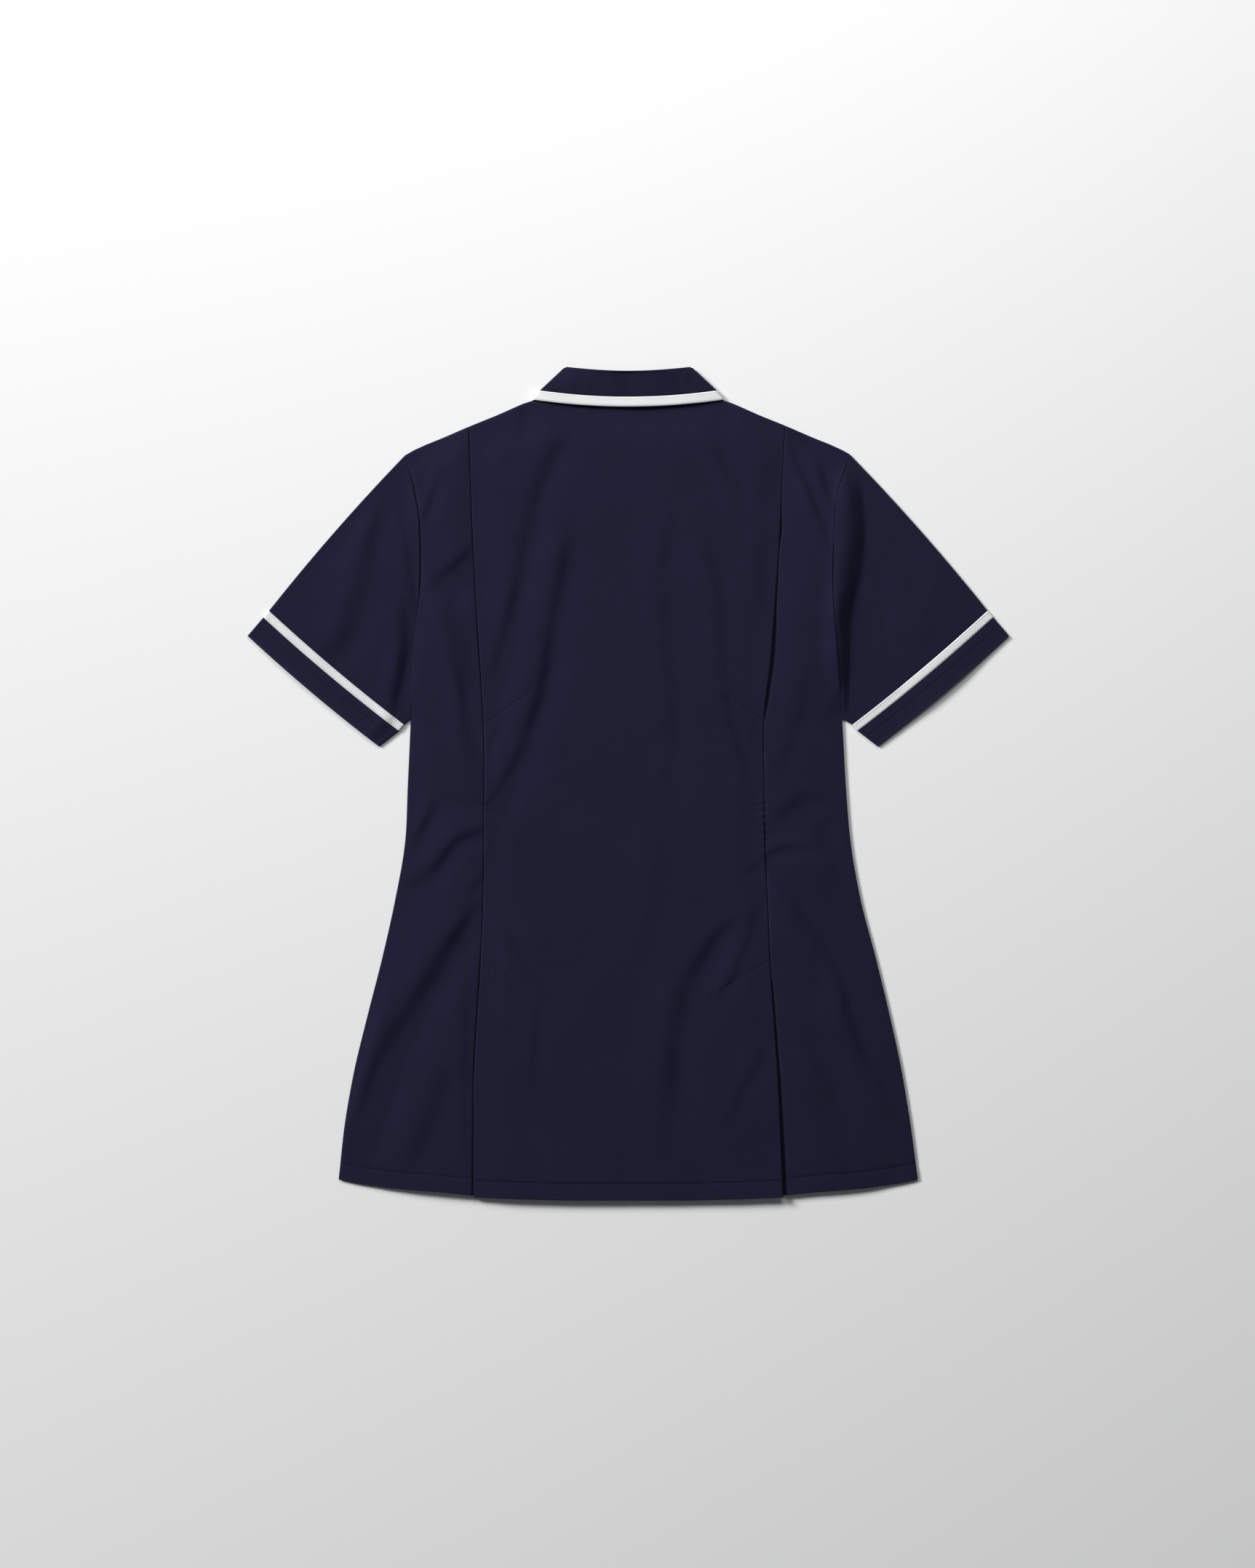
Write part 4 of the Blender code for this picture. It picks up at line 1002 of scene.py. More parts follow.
def cross_tube(name, stations, air, relief, wear_and_highlight_values, material, proud=0.0, thickness=CLOTH):
    """A flattened tube through cross lines. Each station is its points from underarm to overarm."""
    turn = np.radians(np.linspace(BEND_HALF, -BEND_HALF, BEND_POINTS))
    rows, wear_and_highlight_rows = [], []
    for points, lofts, raised, wear_and_highlight in zip(stations, air, relief, wear_and_highlight_values):
        along = (points[-1] - points[0]) / np.hypot(*(points[-1] - points[0]))
        line = points.copy()
        line[0] = points[0] + along * FOLD_RADIUS
        line[-1] = points[-1] - along * FOLD_RADIUS
        fade = np.minimum(1.0, np.hypot(*(line - line[0]).T) / EDGE_REACH)
        fade = ease(0.0, 1.0, fade * np.minimum(1.0, np.hypot(*(line - line[-1]).T) / TOP_REACH))
        x, y = line.T
        height = stacked(1) + lofts + fold_heights(x, y, SLEEVE_FOLDS)
        height = height + unevenness(x, y, SLEEVE_UNEVENNESS) + raised
        height = stacked(1) + (settled(height, stacked(1)) - stacked(1)) * fade + proud
        lower = np.vstack([line[:0:-2], line[:1]])
        under = np.column_stack([lower, np.full(len(lower), stacked(0))])
        overarm = tube_bend(line[-1], along, height[-1], turn)
        underarm = tube_bend(line[0], -along, height[0], turn[::-1])
        rows.append(np.vstack([np.column_stack([line, height]), overarm, under, underarm]))
        # Painted highlight, with some wear, on the tube's folded overarm and underarm edges
        folded = np.zeros(len(rows[-1]))
        folded[len(line) : len(line) + BEND_POINTS] = FOLD_WEAR_AND_HIGHLIGHT
        folded[-BEND_POINTS:] = FOLD_WEAR_AND_HIGHLIGHT
        wear_and_highlight_rows.append(np.maximum(folded, wear_and_highlight))
    return cloth_shell(name, np.array(rows), material, True, thickness, np.array(wear_and_highlight_rows))


def make_sleeve(side, material):
    """Sleeve from the armhole to the braid, with both layers in one tube."""
    levels = armhole_levels()
    armhole = armhole_points(side, levels)
    fractions = armhole_fractions(side, levels)
    inner, outer = cross_line(side, "braid_top")
    end = bowed(side, inner, outer, fractions)
    long = np.hypot(*(end - armhole).T)
    overarm = outer - armhole[-1]
    bulge = np.array([-overarm[1], overarm[0]]) * side / np.hypot(*overarm)
    across = np.sin(np.pi * fractions)
    stations, air, relief = [], [], []
    for share in spread_between(0.0, SLEEVE_LENGTH, COLUMN_STEP) / SLEEVE_LENGTH:
        bow = OVERARM_BOW * 4 * share * (1 - share) * fractions**3
        stations.append(armhole + (end - armhole) * share + bulge * bow[:, None])
        ends = armhole_loft(side, levels) * (1 - share) ** 2 + CUFF_LOFT * across * share
        air.append(ends + SLEEVE_LOFT * across * np.sin(np.pi * share))
        from_seam = share * long
        to_braid = (1 - share) * long
        at_seam = armhole_step(side, body_y(levels))[1] * bell(from_seam, ARMHOLE_DIP_REACH)
        along = levels * ARMHOLE_PUCKER_STEP
        ripple = puckers(along, from_seam, ARMHOLE_PUCKER_REACH, ARMHOLE_PUCKER_HEIGHT)
        at_braid = puckers(fractions * SLEEVE_WIDTH, to_braid) - BAND_DIP * bell(to_braid, BAND_DIP_REACH)
        relief.append(at_seam + ripple + at_braid)
    name = "sleeve_" + HAND[side] + "_cloth"
    return cross_tube(name, stations, air, relief, np.zeros(len(stations)), material)


def make_band(name, side, first, last, material, shares, proud, thickness, relief):
    """A short tube between two cross lines of the sleeve."""
    levels = armhole_levels()
    fractions = armhole_fractions(side, levels)
    width = np.hypot(*(cross_line(side, last)[1] - cross_line(side, first)[1]))
    stations, reliefs, wear_and_highlight_values = [], [], []
    for share in shares:
        share = max(share, BAND_GAP / width)
        stations.append(bowed(side, *cross_line(side, first, last, share), fractions))
        reliefs.append(relief(share * width, (1 - share) * width, fractions))
        # Paler towards the band's far edge: partly wear, partly a painted highlight
        wear_and_highlight_values.append(np.exp(-(1 - share) * width / BAND_WEAR_AND_HIGHLIGHT_REACH))
    air = [CUFF_LOFT * np.sin(np.pi * fractions)] * len(stations)
    return cross_tube(name, stations, air, reliefs, wear_and_highlight_values, material, proud, thickness)


def crown(near):
    """A braid's crowned height, with its rows of stitches pulled in, this near to its edge."""
    dip = BRAID_STITCH_DIP * bell(near - BRAID_STITCH, BRAID_STITCH / 2)
    return BRAID_CROWN * ease(0.0, BRAID_EDGE, near) - dip


def braid_relief(from_top, from_bottom, fractions):
    """The sleeve's braid, crowned between its two rows of stitches."""
    return crown(np.minimum(from_top, from_bottom)) * np.ones_like(fractions)


def cuff_relief(from_top, from_bottom, fractions):
    """The cuff's faint stitching line in the middle and a dip by the braid."""
    from_line = from_top - CUFF_STITCH
    dip = -BAND_DIP * bell(from_top, BAND_DIP_REACH) - CUFF_STITCH_DIP * bell(from_line, CUFF_STITCH_REACH)
    return dip + puckers(fractions * SLEEVE_WIDTH, from_line, PUCKER_REACH, FAINT_PUCKER_HEIGHT)


def collar_line(first, last, share):
    """A collar line part way between two named lines."""
    low = np.array(COLLAR_LINES[first])
    high = np.array(COLLAR_LINES[last])
    return dict(zip(COLLAR_COLUMNS, low + (high - low) * share))


def collar_row(line, distance, beyond=0.0, ripple=0.0, raised=0.0):
    """Points round the neck from the left front end, over the back, to the right front end."""
    middle = 1.5 * LAYER + FIRST_LAYER
    half = line["half"] - 2 * LAYER + SEAM_GAP / 2
    y_side = line["y_side"] + beyond
    y_back = line["y_back"] + beyond
    front_x = np.linspace(line["x_front"], half, COLLAR_FRONT_POINTS)
    front_y = np.linspace(line["y_front"] + beyond, y_side, COLLAR_FRONT_POINTS)
    back_x = half * np.sin(np.linspace(-np.pi / 2, np.pi / 2, COLLAR_BACK_POINTS))
    back_y = y_back + (y_side - y_back) * (back_x / half) ** 2
    lift = line["lift"] + ripple * sum(a * np.sin(back_x * b + c) for a, b, c in COLLAR_WAVES)
    lift = (lift + raised) * (1 - (back_x / half) ** 4)
    lift = lift + fold_heights(back_x, back_y, COLLAR_FOLDS) * (ripple > 0)
    turns = np.radians(ROLL_TURN)
    points = [(-x, y, middle - distance) for x, y in zip(front_x, front_y)]
    points += [(-half - distance * np.cos(a), y_side, middle + distance * np.sin(a)) for a in turns]
    points += [(x, y, middle + distance + up) for x, y, up in zip(back_x, back_y, lift)]
    points += [(half + distance * np.cos(a), y_side, middle + distance * np.sin(a)) for a in turns[::-1]]
    points += [(x, y, middle - distance) for x, y in zip(front_x[::-1], front_y[::-1])]
    return np.array(points)


def make_collar(material):
    """Collar in one piece. The stand goes up inside, rolls over and falls outside to the braid."""
    stand = LAYER / 2
    rows, wear_and_highlight_values = [], []
    for share in STAND_SHARES:
        line = collar_line("neck_seam", "roll", share)
        rows.append(collar_row(line, stand, raised=COLLAR_RAISED * share))
        wear_and_highlight_values.append(0.0)
    line = collar_line("neck_seam", "roll", 1.0)
    for angle in ROLL_ANGLES:
        distance = (stand + COLLAR_FALL) / 2 - LAYER / 2 * np.cos(angle)
        beyond = LAYER / 2 * np.sin(angle) - FOLD_RADIUS
        rows.append(collar_row(line, distance, beyond, raised=COLLAR_RAISED))
        # Painted highlight, with some wear, over the collar's roll
        wear_and_highlight_values.append(ROLL_WEAR_AND_HIGHLIGHT * np.sin(angle))
    for share in FALL_SHARES:
        line = collar_line("roll", "braid_top", share)
        rows.append(collar_row(line, COLLAR_FALL, 0.0, COLLAR_RIPPLE * share, COLLAR_RAISED * (1 - share)))
        # Painted highlight and wear fading from the roll down the fall
        wear_and_highlight_values.append(FALL_WEAR_AND_HIGHLIGHT * np.exp(-share / FALL_WEAR_AND_HIGHLIGHT_SHARE))
    grid = np.array(rows)
    wear_and_highlight = np.array(wear_and_highlight_values)[:, None] * np.ones(grid.shape[1])
    return cloth_shell("collar_cloth", grid, material, wear_and_highlight=wear_and_highlight)


def make_collar_trim(material):
    """White braid that binds the collar's outer edge."""
    edge, top = (np.array(COLLAR_LINES[name])[1:3] for name in ("edge", "braid_top"))
    width = np.hypot(*(edge - top)) / np.sqrt(2)
    rows = []
    for share in TRIM_SHARES:
        near = min(share, 1.0 - share + TRIM_SHARES[0]) * width
        row = collar_row(collar_line("braid_top", "edge", share), COLLAR_FALL, ripple=TRIM_RIPPLE)
        row[:, 2] += np.where(row[:, 2] > 1.5 * LAYER + FIRST_LAYER, crown(near) + TRIM_PROUD, 0.0)
        rows.append(row)
    return cloth_shell("collar_trim_braid", np.array(rows), material, thickness=BRAID_THICKNESS)


# Materials

BUMP_DISTANCE = 0.0002
SHEEN_ROUGHNESS = 0.6

# Noise in the looks: how fine it is, its detail and its roughness
NOISES = {
    "wobble": (260.0, 1.0, 0.5),
    "slub": (900.0, 2.0, 0.5),
    "broad": (14.0, 3.0, 0.5),
    "patchy": (75.0, 2.0, 0.5),
    "fine": (620.0, 3.0, 0.7),
}
TONE_SHARES = {"broad": 0.9, "fine": 1.3, "raised": 0.6, "patchy": 0.8}
RIB_SHARE = 0.38
CROSS_SHARE = 0.12
WEAR_AND_HIGHLIGHT_LEAST = 0.25
ROUGHNESS_SPREAD = 0.12

# The pale edge colour and its share paint edges that are partly worn and partly a painted highlight where
# they catch the light
LOOK_COLUMNS = (
    "colour", "wear_and_highlight_colour", "thread_width", "slub", "unevenness",
    "roughness", "specular", "sheen", "bump", "wear_and_highlight", "place",
)
LOOKS = {
    "navy_cloth": (
        (0.0098, 0.0104, 0.0284, 1.0), (0.030, 0.032, 0.062, 1.0), 0.00050, 0.5, 0.22,
        0.90, 0.06, 0.03, 0.40, 0.40, "UV",
    ),
    "white_braid": (
        (0.70, 0.70, 0.705, 1.0), (0.76, 0.76, 0.76, 1.0), 0.00070, 0.4, 0.05,
        0.72, 0.20, 0.15, 0.8, 0.0, "UV",
    ),
    # Darker than the navy cloth: partly the thread's colour and partly painted shade of the creases that
    # the stitches pull into the cloth
    "navy_thread_with_painted_shade": (
        (0.0052, 0.0056, 0.0155, 1.0), (0.03, 0.03, 0.06, 1.0), 0.00016, 0.3, 0.15,
        0.75, 0.10, 0.0, 0.4, 0.0, "Object",
    ),
    "white_thread": (
        (0.63, 0.63, 0.64, 1.0), (0.7, 0.7, 0.7, 1.0), 0.00016, 0.3, 0.06,
        0.55, 0.30, 0.0, 0.4, 0.0, "Object",
    ),
}


def new_group(name, inputs, outputs, kind="ShaderNodeTree"):
    """A node group with named inputs and outputs."""
    group = bpy.data.node_groups.new(name, kind)
    for label, socket_kind, value in inputs:
        socket = group.interface.new_socket(label, in_out="INPUT", socket_type="NodeSocket" + socket_kind)
        if value is not None:
            socket.default_value = value
    for label, socket_kind in outputs:
        group.interface.new_socket(label, in_out="OUTPUT", socket_type="NodeSocket" + socket_kind)
    return group, group.nodes.new("NodeGroupInput"), group.nodes.new("NodeGroupOutput")


def link(tree, source, target):
    tree.links.new(source, target)


def maths(tree, operation, *values):
    """A maths node whose inputs are sockets or numbers."""
    node = tree.nodes.new("ShaderNodeMath")
    node.operation = operation
    for slot, value in zip(node.inputs, values):
        if isinstance(value, (int, float)):
            slot.default_value = value
        else:
            link(tree, value, slot)
    return node.outputs[0]


def noise(tree, place, kind):
    """One of the named kinds of noise."""
    scale, detail, roughness = NOISES[kind]
    node = tree.nodes.new("ShaderNodeTexNoise")
    node.inputs["Scale"].default_value = scale
    node.inputs["Detail"].default_value = detail
    node.inputs["Roughness"].default_value = roughness
    link(tree, place, node.inputs["Vector"])
    return node.outputs["Fac"]


def make_weave_group():
    """Twill weave from a place in metres: the threads' relief and a mask of the raised threads."""
    group, start, end = new_group(
        "twill_weave",
        [("Place", "Vector", None), ("Thread Width", "Float", 0.00045), ("Slub", "Float", 0.4)],
        [("Height", "Float"), ("Raised", "Float")],
    )
    place, thread, slub = (start.outputs[label] for label in ("Place", "Thread Width", "Slub"))
    split = group.nodes.new("ShaderNodeSeparateXYZ")
    link(group, place, split.inputs[0])
    u = maths(group, "DIVIDE", split.outputs[0], thread)
    v = maths(group, "DIVIDE", split.outputs[1], thread)
    wobble = maths(group, "MULTIPLY", noise(group, place, "wobble"), slub)
    rib = maths(group, "ADD", maths(group, "ADD", u, v), wobble)
    rib = maths(group, "SINE", maths(group, "MULTIPLY", rib, np.pi))
    cross = maths(group, "SINE", maths(group, "MULTIPLY", maths(group, "SUBTRACT", v, u), 2 * np.pi))
    raised = maths(group, "MULTIPLY_ADD", rib, RIB_SHARE, 0.5)
    raised = maths(group, "MULTIPLY_ADD", cross, CROSS_SHARE, raised)
    link(group, raised, end.inputs["Raised"])
    height = maths(group, "MULTIPLY_ADD", noise(group, place, "slub"), slub, raised)
    link(group, height, end.inputs["Height"])
    return group


def make_mottle_group():
    """Colour that varies softly over the cloth: uneven dye, fine fibres, and paler edges that are partly
    worn and partly a painted highlight.
    """
    group, start, end = new_group(
        "dye_wear_and_highlight",
        [
            ("Place", "Vector", None),
            ("Colour", "Color", (0.5, 0.5, 0.5, 1.0)),
            ("Wear And Highlight Colour", "Color", (0.6, 0.6, 0.6, 1.0)),
            ("Raised", "Float", 0.5),
            ("Unevenness", "Float", 0.12),
            ("Wear And Highlight", "Float", 0.0),
            ("Base Roughness", "Float", 0.85),
        ],
        [("Colour", "Color"), ("Roughness", "Float")],
    )
    given = start.outputs
    broad = noise(group, given["Place"], "broad")
    patchy = noise(group, given["Place"], "patchy")
    fine = noise(group, given["Place"], "fine")
    sources = {"broad": broad, "fine": fine, "raised": given["Raised"], "patchy": patchy}
    parts = [maths(group, "MULTIPLY", source, TONE_SHARES[kind]) for kind, source in sources.items()]
    vary = maths(group, "ADD", parts[0], parts[1])
    vary = maths(group, "ADD", vary, parts[2])
    vary = maths(group, "ADD", vary, parts[3])
    vary = maths(group, "SUBTRACT", vary, sum(TONE_SHARES.values()) / 2)
    tint = group.nodes.new("ShaderNodeVectorMath")
    tint.operation = "SCALE"
    link(group, given["Colour"], tint.inputs[0])
    link(group, maths(group, "MULTIPLY_ADD", vary, given["Unevenness"], 1.0), tint.inputs["Scale"])
    mix = group.nodes.new("ShaderNodeMix")
    mix.data_type = "RGBA"
    # Pale edges, partly wear and partly a painted highlight, mixed in
    amount = maths(group, "MULTIPLY", given["Wear And Highlight"], maths(group, "ADD", fine, WEAR_AND_HIGHLIGHT_LEAST))
    link(group, maths(group, "MINIMUM", amount, 1.0), mix.inputs["Factor"])
    link(group, tint.outputs[0], mix.inputs["A"])
    link(group, given["Wear And Highlight Colour"], mix.inputs["B"])
    link(group, mix.outputs["Result"], end.inputs["Colour"])
    rough = maths(group, "MULTIPLY_ADD", fine, ROUGHNESS_SPREAD, given["Base Roughness"])
    rough = maths(group, "SUBTRACT", rough, ROUGHNESS_SPREAD / 2)
    link(group, maths(group, "MINIMUM", rough, 1.0), end.inputs["Roughness"])
    return group


WEAVE = make_weave_group()
MOTTLE = make_mottle_group()


def add_group(tree, group, values):
    """A node group in a material, with some of its inputs given as numbers or sockets."""
    node = tree.nodes.new("ShaderNodeGroup")
    node.node_tree = group
    for label, value in values.items():
        if isinstance(value, bpy.types.NodeSocket):
            link(tree, value, node.inputs[label])
        else:
            node.inputs[label].default_value = value
    return node


def cloth_material(name):
    """Woven cloth, braid or thread with its weave as relief."""
    look = dict(zip(LOOK_COLUMNS, LOOKS[name]))
    material = bpy.data.materials.new(name)
    material.use_nodes = True
    tree = material.node_tree
    shader = tree.nodes["Principled BSDF"]
    place = tree.nodes.new("ShaderNodeTexCoord").outputs[look["place"]]
    weave = add_group(tree, WEAVE, {
        "Place": place,
        "Thread Width": look["thread_width"],
        "Slub": look["slub"],
    })
    mottle = add_group(tree, MOTTLE, {
        "Place": place,
        "Colour": look["colour"],
        "Wear And Highlight Colour": look["wear_and_highlight_colour"],
        "Raised": weave.outputs["Raised"],
        "Unevenness": look["unevenness"],
        "Base Roughness": look["roughness"],
    })
    # Pale edges per point: partly wear, partly a painted highlight
    if look["wear_and_highlight"]:
        wear_and_highlight = tree.nodes.new("ShaderNodeAttribute")
        wear_and_highlight.attribute_name = "wear_and_highlight"
        link(tree, maths(tree, "MULTIPLY", wear_and_highlight.outputs["Fac"], look["wear_and_highlight"]), mottle.inputs["Wear And Highlight"])
    relief = tree.nodes.new("ShaderNodeBump")
    relief.inputs["Strength"].default_value = look["bump"]
    relief.inputs["Distance"].default_value = BUMP_DISTANCE
    link(tree, weave.outputs["Height"], relief.inputs["Height"])
    link(tree, mottle.outputs["Colour"], shader.inputs["Base Color"])
    link(tree, mottle.outputs["Roughness"], shader.inputs["Roughness"])
    link(tree, relief.outputs["Normal"], shader.inputs["Normal"])
    shader.inputs["Specular IOR Level"].default_value = look["specular"]
    shader.inputs["Sheen Weight"].default_value = look["sheen"]
    shader.inputs["Sheen Roughness"].default_value = SHEEN_ROUGHNESS
    return material


# Stitches


def stitch_tree():
    """Stitches along lines: short fat threads spaced evenly, each a little longer or shorter."""
    tree, start, end = new_group(
        "stitch_row",
        [
            ("Geometry", "Geometry", None),
            ("Spacing", "Float", None),
            ("Length", "Float", None),
            ("Thread", "Float", None),
            ("Seed", "Int", None),
            ("Material", "Material", None),
        ],
        [("Geometry", "Geometry")],
        "GeometryNodeTree",
    )
    kinds = {
        "curve": "GeometryNodeMeshToCurve",
        "evenly": "GeometryNodeResampleCurve",
        "ball": "GeometryNodeMeshIcoSphere",
        "tangent": "GeometryNodeInputTangent",
        "align": "FunctionNodeAlignRotationToVector",
        "size": "ShaderNodeCombineXYZ",
        "vary": "FunctionNodeRandomValue",
        "longer": "ShaderNodeMath",
        "place": "GeometryNodeInstanceOnPoints",
        "real": "GeometryNodeRealizeInstances",
        "smooth": "GeometryNodeSetShadeSmooth",
        "coat": "GeometryNodeSetMaterial",
    }
    nodes = {label: tree.nodes.new(kind) for label, kind in kinds.items()}
    nodes.update(start=start, end=end)
    nodes["evenly"].mode = "LENGTH"
    nodes["ball"].inputs["Radius"].default_value = 0.5
    nodes["ball"].inputs["Subdivisions"].default_value = 1
    nodes["align"].axis = "Z"
    nodes["vary"].data_type = "FLOAT"
    nodes["vary"].inputs[2].default_value, nodes["vary"].inputs[3].default_value = STITCH_VARY
    nodes["longer"].operation = "MULTIPLY"
    links = (
        ("start", "Geometry", "curve", "Mesh"),
        ("curve", "Curve", "evenly", "Curve"),
        ("start", "Spacing", "evenly", "Length"),
        ("evenly", "Curve", "place", "Points"),
        ("ball", "Mesh", "place", "Instance"),
        ("tangent", "Tangent", "align", "Vector"),
        ("align", "Rotation", "place", "Rotation"),
        ("start", "Seed", "vary", "Seed"),
        ("start", "Length", "longer", 0),
        ("vary", 1, "longer", 1),
        ("start", "Thread", "size", "X"),
        ("start", "Thread", "size", "Y"),
        ("longer", 0, "size", "Z"),
        ("size", "Vector", "place", "Scale"),
        ("place", "Instances", "real", "Geometry"),
        ("real", "Geometry", "smooth", "Geometry"),
        ("smooth", "Geometry", "coat", "Geometry"),
        ("start", "Material", "coat", "Material"),
        ("coat", "Geometry", "end", "Geometry"),
    )
    for source, output, target, socket in links:
        link(tree, nodes[source].outputs[output], nodes[target].inputs[socket])
    return tree


STITCH_TREE = stitch_tree()


def cloth_surface(piece):
    """Something to drop a stitch line onto."""
    mesh = piece.data
    return BVHTree.FromPolygons([v.co for v in mesh.vertices], [p.vertices for p in mesh.polygons])


def dropped(surface, line, from_above=True):
    """A line on the cloth's surface, from points across and up the garment."""
    points = []
    start_z = DROP_HEIGHT if from_above else -DROP_HEIGHT
    way = (0, 0, -1) if from_above else (0, 0, 1)
    for x, y in line:
        hit = surface.ray_cast((float(x), float(y), start_z), way)[0]
        if hit is not None:
            lift = THREAD * STITCH_SIT
            height = hit.z + lift if from_above else max(hit.z - lift, THREAD / 2)
            points.append((hit.x, hit.y, height))
    return points


def both_faces(surface, line):
    """The same line on the upper and on the lower face of a tube."""
    return [dropped(surface, line), dropped(surface, line, False)]


def finely(line, step=LINE_STEP):
    """More points along a line, evenly spaced."""
    line = np.asarray(line, float)
    along = travelled_along(line)
    at = np.linspace(0.0, along[-1], max(2, round(along[-1] / step) + 1))
    return np.column_stack([np.interp(at, along, line[:, 0]), np.interp(at, along, line[:, 1])])


def make_stitches(name, lines, material, seed):
    """One piece of stitching along all the given lines."""
    points, edges = [], []
    for line in lines:
        first = len(points)
        points += line
        edges += [(first + i, first + i + 1) for i in range(len(line) - 1)]
    mesh = bpy.data.meshes.new(name + "_lines")
    mesh.from_pydata(points, edges, [])
    made = add_object(name, mesh)
    modifier = made.modifiers.new("stitches", "NODES")
    modifier.node_group = STITCH_TREE
    values = {
        "Spacing": STITCH_SPACING,
        "Length": STITCH_LENGTH,
        "Thread": THREAD,
        "Seed": seed,
        "Material": material,
    }
    for item in STITCH_TREE.interface.items_tree:
        if item.in_out == "INPUT" and item.name in values:
            modifier[item.identifier] = values[item.name]
    graph = bpy.context.evaluated_depsgraph_get()
    real = bpy.data.meshes.new_from_object(made.evaluated_get(graph))
    made.modifiers.clear()
    made.data = real
    real.name = name
    return made


# Making the garment

NAVY = cloth_material("navy_cloth")
WHITE = cloth_material("white_braid")
# Navy thread, darkened with painted shade of the stitch creases
NAVY_THREAD_WITH_PAINTED_SHADE = cloth_material("navy_thread_with_painted_shade")
WHITE_THREAD = cloth_material("white_thread")

BRAID_SHARES = np.linspace(0.0, 1.0, 9)
CUFF_SHARES = spread_between(0.0, 1.0, 0.1, 0.03)

cloth = {"back_centre": make_back_centre(NAVY)}
for side, hand in HAND.items():
    cloth["back_side_" + hand] = make_back_side(side, NAVY)
    cloth["front_" + hand] = make_front(side, NAVY)
    cloth["sleeve_" + hand] = make_sleeve(side, NAVY)
    cloth["sleeve_trim_" + hand] = make_band(
        "sleeve_trim_" + hand + "_braid", side, "braid_top", "braid_bottom", WHITE,
        BRAID_SHARES, BRAID_PROUD, BRAID_THICKNESS, braid_relief,
    )
    cloth["cuff_" + hand] = make_band(
        "cuff_" + hand + "_cloth", side, "braid_bottom", "cuff_edge", NAVY,
        CUFF_SHARES, 0.0, CLOTH, cuff_relief,
    )
cloth["collar"] = make_collar(NAVY)
cloth["collar_trim"] = make_collar_trim(WHITE)
surfaces = {name: cloth_surface(piece) for name, piece in cloth.items()}

# Stitching lines, with the seed of each piece's stitches

HEM_END = 0.003
HEM_HIDDEN_END = 0.004
HEM_LAP_END = 0.012
LAP_STITCH = ((-0.0125, -0.383), (-0.0125, 0.276))
LAP_STEP = 0.008
BAND_LINE_FRACTIONS = np.linspace(0.02, 0.98, 44)
COLLAR_LINE_END = 0.002
TRIM_STITCHES = (0.15, 0.85)
CUFF_STITCHES = 0.36
COLLAR_STITCHES = (0.18, 0.86)
SEEDS = {"back_centre": 3, "back_side": 11, "front": 21, "sleeve_trim": 31, "cuff": 41, "collar_trim": 51}


def hem_line(x_from, x_to, short=0.0):
    x = np.linspace(x_from, x_to, max(2, round(abs(x_to - x_from) / LINE_STEP)))
    return np.column_stack([x, place_y(x, 0.0, short=short) + HEM_STITCH])


def band_line(side, first, last, share):
    """A line along the sleeve's braid or cuff, part way across it."""
    return bowed(side, *cross_line(side, first, last, share), BAND_LINE_FRACTIONS)


def collar_stitch_line(share):
    """A line along the back of the collar's braid, part way across it."""
    line = collar_line("braid_top", "edge", share)
    row = collar_row(line, COLLAR_FALL)
    behind = (row[:, 2] > stacked(2)) & (np.abs(row[:, 0]) < line["half"] - COLLAR_LINE_END)
    return row[behind, :2]


stitches = {}
surface = surfaces["back_centre"]
lines = [dropped(surface, hem_line(seam_x(-1, 0.0) + HEM_END, seam_x(1, 0.0) - HEM_END))]
for slant in SLANTS.values():
    lines.append(dropped(surface, finely(np.array(slant) * MM)))
stitches["back_centre"] = make_stitches("back_centre_stitches", lines, NAVY_THREAD_WITH_PAINTED_SHADE, SEEDS["back_centre"])
for side, hand in HAND.items():
    seam, edge = seam_x(side, 0.0), side_x(side, 0.0)
    name = "back_side_" + hand
    hem = hem_line(seam + side * HEM_HIDDEN_END, edge - side * HEM_END, SIDE_HEM_SHORT)
    lines = [dropped(surfaces[name], hem)]
    stitches[name] = make_stitches(name + "_stitches", lines, NAVY_THREAD_WITH_PAINTED_SHADE, SEEDS["back_side"] + side)
    name = "front_" + hand
    hem = hem_line(-side * HEM_LAP_END, edge - side * HEM_HIDDEN_END, FRONT_HEM_SHORT)
    lap = finely(np.array(LAP_STITCH) * (side, 1.0), LAP_STEP)
    lines = [dropped(surfaces[name], line, False) for line in (hem, lap)]
    stitches[name] = make_stitches(name + "_stitches", lines, NAVY_THREAD_WITH_PAINTED_SHADE, SEEDS["front"] + side)
    name = "sleeve_trim_" + hand
    lines = []
    for share in TRIM_STITCHES:
        lines += both_faces(surfaces[name], band_line(side, "braid_top", "braid_bottom", share))
    stitches[name] = make_stitches(name + "_stitches", lines, WHITE_THREAD, SEEDS["sleeve_trim"] + side)
    name = "cuff_" + hand
    lines = both_faces(surfaces[name], band_line(side, "braid_bottom", "cuff_edge", CUFF_STITCHES))
    stitches[name] = make_stitches(name + "_stitches", lines, NAVY_THREAD_WITH_PAINTED_SHADE, SEEDS["cuff"] + side)
lines = [dropped(surfaces["collar_trim"], collar_stitch_line(share)) for share in COLLAR_STITCHES]
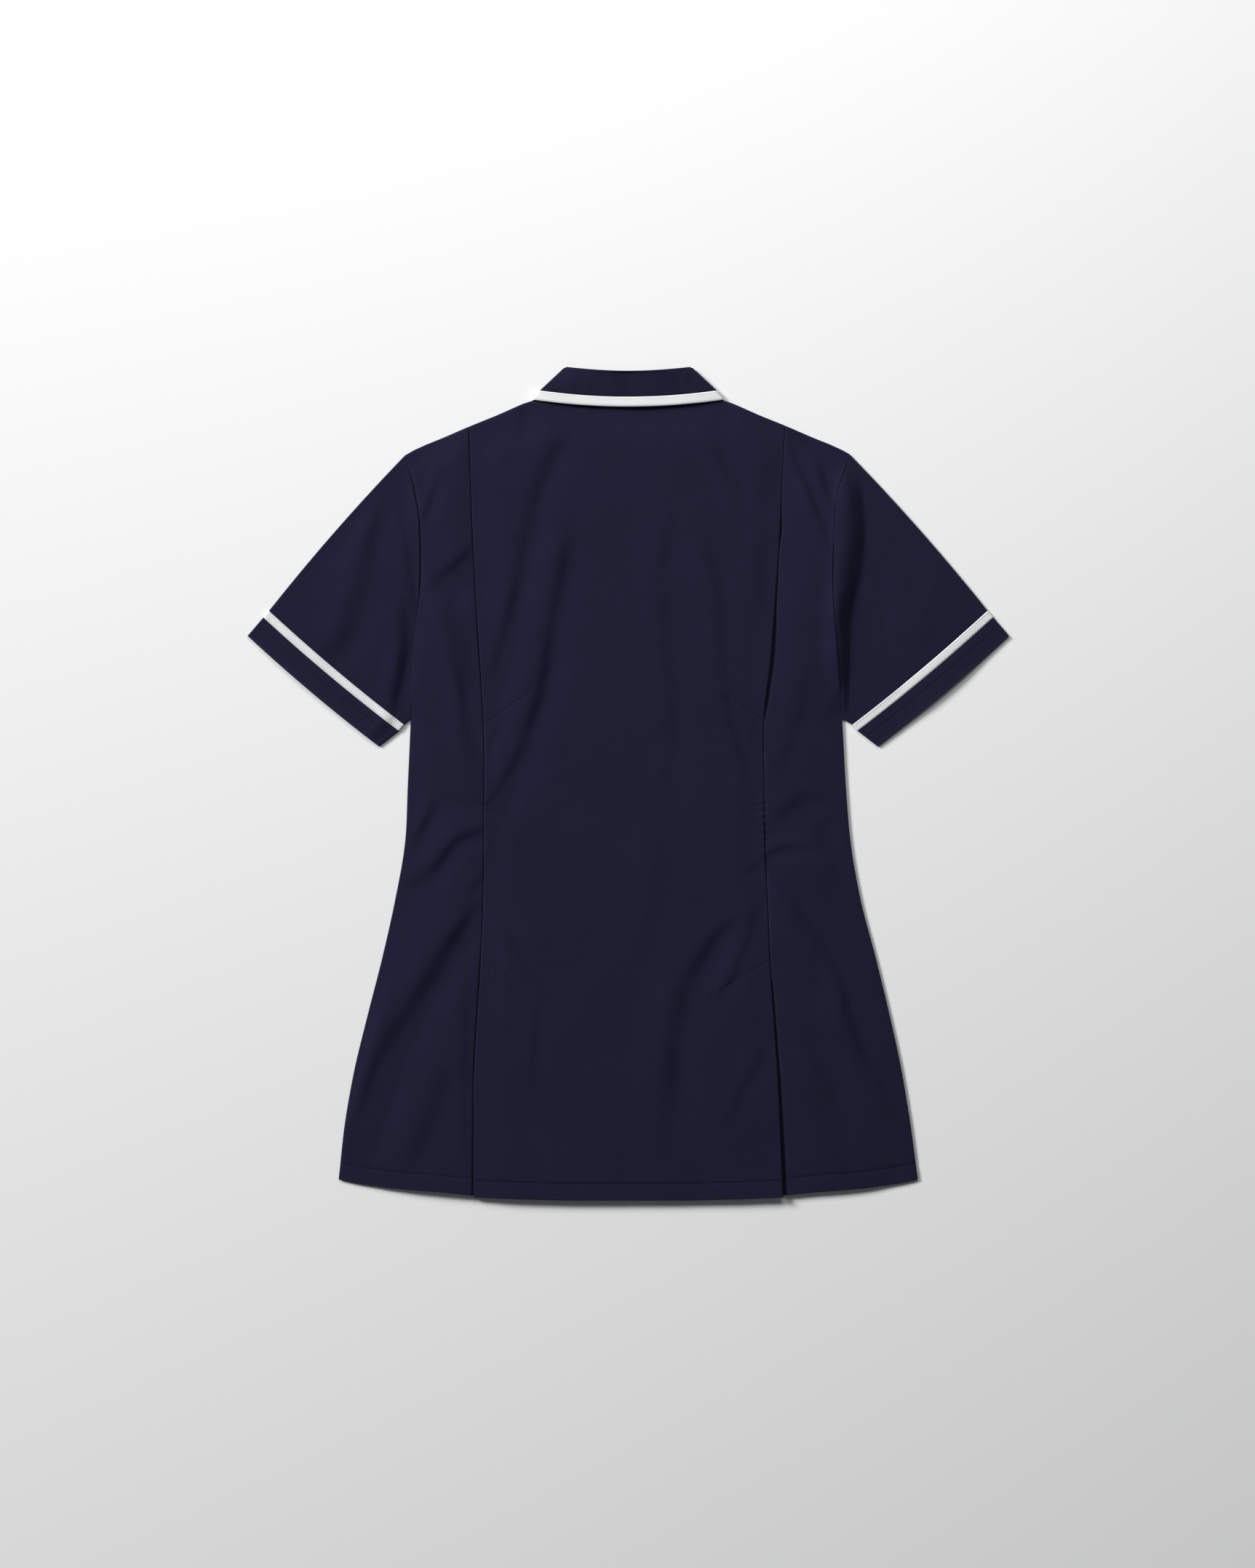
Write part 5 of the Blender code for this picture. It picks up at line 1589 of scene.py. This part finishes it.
stitches["collar_trim"] = make_stitches("collar_trim_stitches", lines, WHITE_THREAD, SEEDS["collar_trim"])

# What rides on the part, and the part that each sheet of cloth stands for, which is hidden

for name, piece in cloth.items():
    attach(piece, "root")
    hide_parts(name)
for name, piece in stitches.items():
    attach(piece, "root")

FLOOR_HALF = 6
FLOOR_Z = -0.0001
FLOOR_CORNERS = ((-1, -1), (1, -1), (1, 1), (-1, 1))
floor_mesh = bpy.data.meshes.new("floor")
floor_points = [(x * FLOOR_HALF, y * FLOOR_HALF, FLOOR_Z) for x, y in FLOOR_CORNERS]
floor_mesh.from_pydata(floor_points, [], [(0, 1, 2, 3)])
floor = add_object("floor", floor_mesh)
pale = bpy.data.materials.new("pale_floor")
pale.use_nodes = True
pale.node_tree.nodes["Principled BSDF"].inputs["Base Color"].default_value = (0.80, 0.80, 0.80, 1.0)
pale.node_tree.nodes["Principled BSDF"].inputs["Roughness"].default_value = 0.9
floor_mesh.materials.append(pale)

# Camera straight above, as in the photograph, and soft studio light from the upper left

camera_data = bpy.data.cameras.new("camera")
camera_data.lens = 85
camera_data.sensor_width = 36
camera = add_object("camera", camera_data)
camera.location = (-0.0007, -0.0007, 3.461)
bpy.context.scene.camera = camera


def soft_light(name, place, aim, size, power):
    """A square light at a place, turned to face its aim."""
    data = bpy.data.lights.new(name, "AREA")
    data.shape = "SQUARE"
    data.size = size
    data.energy = power
    light = add_object(name, data)
    light.location = place
    light.rotation_euler = (Vector(aim) - Vector(place)).to_track_quat("-Z", "Y").to_euler()


soft_light("key_light", (-5.80, 3.80, 3.55), (0.0, 0.0, 0.0), 2.2, 840)
soft_light("top_light", (0.2, 1.7, 1.6), (0.0, 0.25, 0.0), 1.2, 23)
world = bpy.data.worlds.new("studio")
world.use_nodes = True
world.node_tree.nodes["Background"].inputs["Color"].default_value = (0.9, 0.93, 1.0, 1.0)
world.node_tree.nodes["Background"].inputs["Strength"].default_value = 0.10
bpy.context.scene.world = world
bpy.context.scene.view_settings.view_transform = "Standard"
